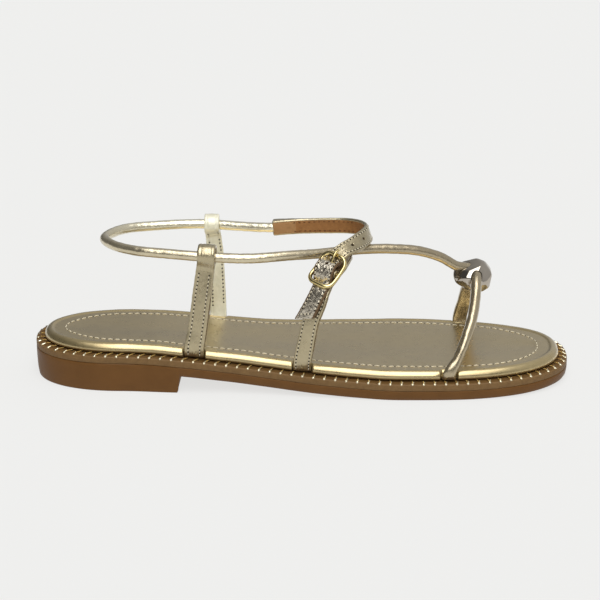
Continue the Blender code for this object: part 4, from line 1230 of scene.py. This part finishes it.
def make_side_strap(batches):
    rows = side_strap_rows()
    half = SIDE_THICKNESS / 2
    loop = cord_points()[SIDE_LOOP]
    way = cord_way(SIDE_LOOP)
    out = Vector(rows[-1][3:6])
    radius = CORD_RADIUS + CLEARANCE + SIDE_FOLD_WALL / 2
    close = loop_path(rows, np.array(loop), way, out, radius, half, 0.75 * SIDE_WIDTH)
    rings = wrinkle(rings_along(close, flat(SIDE_GROOVE)), *SIDE_WRINKLE)
    swept("side_strap_leather", rings, STRAP_GOLD, ("side_strap",))
    make_filler("side_strap_filler", rows[:-1])
    total = travel(close[:, :3])[-1]
    foot = distance_at(close, rows[4][:3])
    top = distance_at(close, at_buckle(0, -0.55 * BUCKLE_HEIGHT, 0))
    sew_strap(batches, close, STRAP_SEAM, foot, top)
    sew_strap(batches, close, STRAP_SEAM, total - top, total - foot)
    # Two keepers hold the buckle's centre bar.
    drop = -BUCKLE_BOW / 2
    depth = drop - strap_levels()[2]
    ring_radius = CENTRE_BAR_RADIUS + CLEARANCE + KEEPER_WALL / 2
    half_width = (FRAME_INSIDE - KEEPER_SLOT / 2) / 2
    _, up, face = (np.array(axis) for axis in frame_axes())
    bend = [(math.cos(a) * up + math.sin(a) * face, 0) for a in np.radians(np.linspace(180, 0, 9))]
    for side, label in ((-1, "heel"), (1, "toe")):
        centre = np.array(at_frame(side * (KEEPER_SLOT / 2 + FRAME_INSIDE) / 2, 0, drop))
        path = []
        for radial, reach in [(-up, 1.0), (-up, 0.5)] + bend + [(up, 0.5), (up, 1.0)]:
            base = centre - face * reach * depth + ring_radius * radial
            path.append(row(base, radial, half_width, KEEPER_WALL / 2, 5))
        swept(f"keeper_{label}", rings_along(sample(path), oval), STRAP_GOLD)


def make_ankle_strap(batches):
    cord, strap = cord_and_strap_rows()
    rings = rings_along(sample(cord), lambda line: round_section(*line[6:], 40), cap=(0, 0.9 * MM))
    swept("ankle_cord", wrinkle(rings, *CORD_WRINKLE), CORD_GOLD, ("ankle_strap",))
    close = settle(sample(strap), 4)
    rings = rings_along(close, flat(ANKLE_GROOVE), cap=(0.8 * MM, 0.35 * MM), slant=TAIL_SLANT)
    travelled = travel(close[:, :3])
    total = travelled[-1]
    foil = distance_at(close, at_buckle(0, 0.42 * BUCKLE_HEIGHT, 0))
    travelled = np.concatenate((np.zeros(4), travelled, np.full(4, total)))
    rings = wrinkle(rings, *STRAP_WRINKLE)
    crinkled = wrinkle(rings, *FOIL_WRINKLE)
    rings[travelled > foil] = crinkled[travelled > foil]
    count = rings.shape[1]
    faces = loft(rings)
    indices = np.zeros(len(faces), dtype=int)
    for i in range(rings.shape[0] - 1):
        for k in range(count):
            if LINED_FIRST <= k < LINED_LAST and i >= 3:
                indices[i * count + k] = 1 if travelled[i] > LINING_START else 2
            elif travelled[i] > foil:
                indices[i * count + k] = 3 if k < FACE_POINTS else 4
    made = [STRAP_GOLD, LINING, PALE_LINING, FOIL_GOLD, EDGE_BROWN]
    body = piece("buckle_strap", rings.reshape(-1, 3), faces, made, indices=indices)
    crossing = distance_at(close, at_buckle(0, BUCKLE_HEIGHT / 2, 0))
    punched(body, close, crossing)
    sew_strap(batches, close, STRAP_SEAM, LINING_START, total - 1.6 * MM)
    turn = distance_at(close, spot(*LINING_END))
    brown = Batch()
    sew_strap((brown, batches[1]), close, LINING_SEAM, LINING_START, turn, -1, LINING_PITCH, LINING_HOLE)
    brown.make("lining_stitches", BROWN_THREAD, "strap_leather")
    # A slanted row of stitches closes the tail, and another goes straight across above the buckle.
    tangents, sides, outs = frames(close)
    end = len(close) - 3
    above = int(np.argmin(abs(travelled[4:-4] - crossing + CROSS_ABOVE_BUCKLE)))
    spread = np.linspace(-1, 1, 24)[:, None] * (close[end, 6] - STRAP_SEAM)
    for i, back, slant, lift in ((end, 1.1 * MM, TAIL_SLANT, 0.06 * MM), (above, 0, 0, 0.08 * MM)):
        cross = close[i, :3] - back * tangents[i] + spread * (sides[i] + slant * tangents[i])
        cross = cross + outs[i] * (close[i, 7] + lift)
        sew(batches, cross, np.tile(outs[i], (24, 1)), CROSS_PITCH, CROSS_LENGTH, THREAD_RADIUS, 0.5 * MM)


def punched(body, close, crossing):
    """Open the strap's adjustment holes and the prong's hole."""
    travelled = travel(close[:, :3])
    outs = frames(close)[2]
    tools = []
    for shift in PUNCH_PLACES:
        near = int(np.argmin(abs(travelled - (crossing + shift))))
        bm = bmesh.new()
        bmesh.ops.create_cone(
            bm, cap_ends=True, segments=20, radius1=PUNCH_RADIUS, radius2=PUNCH_RADIUS,
            depth=3 * STRAP_THICKNESS,
        )
        turn = Vector(outs[near]).to_track_quat("Z", "Y").to_matrix().to_4x4()
        bmesh.ops.transform(bm, matrix=turn, verts=bm.verts)
        bmesh.ops.translate(bm, vec=Vector(close[near, :3]), verts=bm.verts)
        mesh = bpy.data.meshes.new("punch")
        bm.to_mesh(mesh)
        bm.free()
        mesh.materials.append(EDGE_BROWN)
        tools.append(bpy.data.objects.new("punch", mesh))
    tools.append(room_for(prong_rows(), EDGE_BROWN))
    cut_away(body, tools)


def room_for(rows, made):
    """Tool that clears room round a swept part."""
    grown = [(*line[:6], line[6] + CLEARANCE, line[7] + CLEARANCE, line[8]) for line in rows]
    rings = rings_along(sample(grown), oval)
    mesh = bpy.data.meshes.new("room")
    mesh.from_pydata([tuple(v) for v in rings.reshape(-1, 3)], [], loft(rings))
    mesh.materials.append(made)
    return bpy.data.objects.new("room", mesh)


def cut_away(body, tools):
    """Subtract tool objects from a piece, and drop the tools."""
    for tool in tools:
        face_outwards(tool.data)
        bpy.context.scene.collection.objects.link(tool)
        modifier = body.modifiers.new("room", "BOOLEAN")
        modifier.operation = "DIFFERENCE"
        modifier.solver = "EXACT"
        modifier.material_mode = "TRANSFER"
        modifier.object = tool
    bpy.context.view_layer.update()
    graph = bpy.context.evaluated_depsgraph_get()
    made = bpy.data.meshes.new_from_object(body.evaluated_get(graph))
    body.modifiers.clear()
    old = body.data
    body.data = made
    made.name = old.name
    for tool in tools:
        bpy.data.objects.remove(tool)


def make_toe_strap():
    radius = TOE_CORD_RADIUS
    ends = []
    for station, side in ((LATERAL_TOE_FOOT, LATERAL), (MEDIAL_TOE_FOOT, MEDIAL)):
        end = foot_rows(station, side, TOE_TAB_WIDTH / 2, TAB_THICKNESS, TOE_FOOT_PROUD)
        end[3] = (*end[3][:6], 0.48 * TOE_TAB_WIDTH, 0.45 * radius, 3)
        end[4] = (*end[4][:6], 0.43 * TOE_TAB_WIDTH, 0.6 * radius, 2.6)
        ends.append(end)
    rows = []
    lateral_out = Vector((0, LATERAL, 0.35))
    for i, entry in enumerate(LATERAL_TOE_ROUTE):
        rows.append(row(spot(*entry), lateral_out.lerp(UP, i / len(LATERAL_TOE_ROUTE)), radius, radius, 2))
    rows.append(row(spot(*TOE_CROWN), UP, radius, radius, 2))
    # Behind the nugget the strap is pressed flat and wide.
    medial_out = Vector((0, MEDIAL, 0.35))
    for i, (entry, wide) in enumerate(zip(MEDIAL_TOE_ROUTE, (1.2, 1.42, 1.45, 1.4)), start=1):
        out = UP.lerp(medial_out, i / len(MEDIAL_TOE_ROUTE))
        place = spot(*entry) - Vector((0.45 * (wide - 1) * radius, 0, 0))
        rows.append(row(place, out, wide * radius, 0.62 * radius, 3))
    ends[1] = [(*line[:6], 1.4 * radius, min(line[7], 0.5 * radius), 4) for line in ends[1]]
    close = settle(sample(ends[0] + rows + ends[1][::-1]), 3)
    rings = rings_along(close, lambda line: round_section(*line[6:], 40))
    swept("toe_cord", wrinkle(rings, *TOE_WRINKLE), CORD_GOLD, ("toe_strap",))
    return rows


# ---------------------------------------------------------------- metal parts

def make_nugget(toe_rows):
    centre = spot(*NUGGET_SPOT)
    bm = bmesh.new()
    for corner in NUGGET_CORNERS:
        bm.verts.new(centre + Vector(a * b / 2 for a, b in zip(corner, NUGGET_SIZE)))
    hull = bmesh.ops.convex_hull(bm, input=bm.verts)
    bmesh.ops.delete(bm, geom=list(set(hull["geom_interior"])), context="VERTS")
    bmesh.ops.dissolve_limit(bm, angle_limit=math.radians(17), verts=bm.verts, edges=bm.edges)
    bmesh.ops.bevel(
        bm, geom=bm.edges, offset=0.7 * MM, segments=4, affect="EDGES", clamp_overlap=True, profile=0.5,
    )
    bmesh.ops.recalc_face_normals(bm, faces=bm.faces)
    mesh = bpy.data.meshes.new("nugget_polished")
    bm.to_mesh(mesh)
    bm.free()
    mesh.materials.append(NUGGET_METAL)
    nugget = bpy.data.objects.new("nugget_polished", mesh)
    bpy.context.scene.collection.objects.link(nugget)
    cord = cord_and_strap_rows()[0]
    cut_away(nugget, [room_for(toe_rows, NUGGET_METAL), room_for(cord[:5], NUGGET_METAL)])
    nugget.data.shade_smooth()
    nugget.data.set_sharp_from_angle(angle=math.radians(38))
    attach(nugget, "root")
    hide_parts("toe_nugget")


def polished(name, tube, rod, replaced):
    """Buckle piece from a tube that closes on itself and a rod."""
    verts = np.array(tube).reshape(-1, 3)
    faces = [tuple(i % len(verts) for i in face) for face in loft(np.array(tube + tube[:1]), caps=False)]
    faces += loft(rod, start=len(verts))
    piece(name, np.concatenate([verts, rod.reshape(-1, 3)]), faces, [BUCKLE_METAL], replaced)


def make_buckle():
    half_width = (BUCKLE_WIDTH - BUCKLE_WIRE) / 2
    half_height = (BUCKLE_HEIGHT - BUCKLE_WIRE) / 2
    outline = []
    for cx, cy, start in ((1, 1, 0), (-1, 1, 90), (-1, -1, 180), (1, -1, 270)):
        for step in range(17):
            angle = math.radians(start + 90 / 16 * step)
            u = cx * (half_width - BUCKLE_CORNER) + BUCKLE_CORNER * math.cos(angle)
            v = cy * (half_height - BUCKLE_CORNER) + BUCKLE_CORNER * math.sin(angle)
            outline.append((u, v, 0))
    closed = np.array(outline + outline[:1])
    travelled = travel(closed)
    places = between(np.linspace(0, travelled[-1], 145)[:-1], travelled, closed)
    ways = unit(np.roll(places, -1, axis=0) - np.roll(places, 1, axis=0))
    right, up, out = (np.array(axis) for axis in frame_axes())
    wire = []
    c, s = (values[:, None] for values in circle(24))
    for (u, v, _), way in zip(places.tolist(), ways):
        centre = np.array(at_frame(u, v, BUCKLE_BOW * ((v / half_height) ** 2 - 0.5)))
        wire.append(centre + BUCKLE_WIRE / 2 * ((right * way[1] - up * way[0]) * c + out * s))
    bar = []
    for share in (-1, -0.4, 0.4, 1):
        place = at_frame(share * (half_width - 0.1 * MM), 0, -BUCKLE_BOW / 2)
        bar.append(row(place, out, CENTRE_BAR_RADIUS, CENTRE_BAR_RADIUS, 2))
    polished("buckle_polished", wire, rings_along(sample(bar), oval), ("buckle_frame",))
    eye = []
    ring_radius = CENTRE_BAR_RADIUS + CLEARANCE + PRONG_RADIUS / 2
    centre = np.array(at_buckle(0, 0, -BUCKLE_BOW / 2))
    c, s = (values[:, None] for values in circle(16))
    for angle in np.linspace(0, 2 * np.pi, 49)[:-1]:
        radial = math.cos(angle) * up + math.sin(angle) * out
        eye.append(centre + ring_radius * radial + PRONG_RADIUS / 2 * c * radial + 0.9 * MM * s * right)
    prong = rings_along(settle(sample(prong_rows(), 0.4 * MM), 2), oval, cap=(0, 0.6 * PRONG_RADIUS))
    polished("prong_polished", eye, prong, ("buckle_prong",))


# ---------------------------------------------------------------- surroundings

def make_studio():
    mesh = bpy.data.meshes.new("floor")
    corners = [(x * FLOOR_SIZE, y * FLOOR_SIZE, 0) for x, y in ((-1, -1), (1, -1), (1, 1), (-1, 1))]
    mesh.from_pydata(corners, [], [(0, 1, 2, 3)])
    floor = bpy.data.objects.new("floor", mesh)
    bpy.context.scene.collection.objects.link(floor)
    made, tree, shader = material("floor_pale", 0.9)
    mottled(tree, shader, ((0.158, 0.158, 0.156), (0.160, 0.160, 0.158)), 2)
    shader.inputs["Specular IOR Level"].default_value = 0.0
    # The floor is a pale light table, so the shoe's shadow stays faint.
    shader.inputs["Emission Color"].default_value = (1.0, 1.0, 0.985, 1)
    shader.inputs["Emission Strength"].default_value = FLOOR_GLOW
    mesh.materials.append(made)
    world = bpy.data.worlds.new("studio")
    world.use_nodes = True
    tree = world.node_tree
    way = node(tree, "TexCoord")
    parts = []
    for axis, stops in (ROOM_RAMP, SOFTBOX_RAMP, SOFTBOX_ENDS_RAMP):
        share = node(tree, "VectorMath", {1: axis}, operation="DOT_PRODUCT")
        link(tree, way, "Generated", share, 0)
        if axis == SOFTBOX_ENDS_RAMP[0]:
            both_ends = node(tree, "Math", operation="ABSOLUTE")
            link(tree, share, "Value", both_ends, 0)
            share = both_ends
        ramp = node(tree, "ValToRGB")
        stages = ramp.color_ramp.elements
        stages[0].color = (*[stops[0][1]] * 3, 1)
        stages[1].color = (*[stops[-1][1]] * 3, 1)
        for place, level in stops[1:-1]:
            stages.new(place).color = (level, level, level, 1)
        link(tree, share, "Value", ramp, "Fac")
        parts.append(ramp)
    room = tree.nodes["Background"]
    strip = node(tree, "Math", operation="MULTIPLY")
    softbox = node(tree, "Background", {"Strength": SOFTBOX_STRENGTH})
    both = node(tree, "AddShader")
    link(tree, parts[0], "Color", room, "Color")
    link(tree, parts[1], "Color", strip, 0)
    link(tree, parts[2], "Color", strip, 1)
    link(tree, strip, "Value", softbox, "Color")
    link(tree, room, "Background", both, 0)
    link(tree, softbox, "Background", both, 1)
    link(tree, both, "Shader", tree.nodes["World Output"], "Surface")
    bpy.context.scene.world = world


def make_camera():
    level = math.cos(CAMERA_ELEVATION)
    back = Vector((
        math.sin(CAMERA_AZIMUTH) * level, -math.cos(CAMERA_AZIMUTH) * level, math.sin(CAMERA_ELEVATION),
    ))
    data = bpy.data.cameras.new("camera")
    data.sensor_width = CAMERA_SENSOR
    data.lens = CAMERA_LENS
    data.clip_start = 0.05
    camera = bpy.data.objects.new("camera", data)
    camera.location = CAMERA_TARGET + back * CAMERA_DISTANCE
    camera.rotation_euler = (-back).to_track_quat("-Z", "Y").to_euler()
    bpy.context.scene.collection.objects.link(camera)
    bpy.context.scene.camera = camera
    bpy.context.scene.view_settings.view_transform = "Standard"


make_outsole()
make_welt()
make_insole()
make_studs()
strap_seams = (Batch(), Batch())
make_posts(strap_seams)
make_side_strap(strap_seams)
make_ankle_strap(strap_seams)
strap_seams[0].make("strap_stitches", THREAD, "strap_leather")
strap_seams[1].make("strap_needle_holes", NEEDLE_HOLE_SHADE, "strap_leather")
make_nugget(make_toe_strap())
make_buckle()
make_studio()
make_camera()
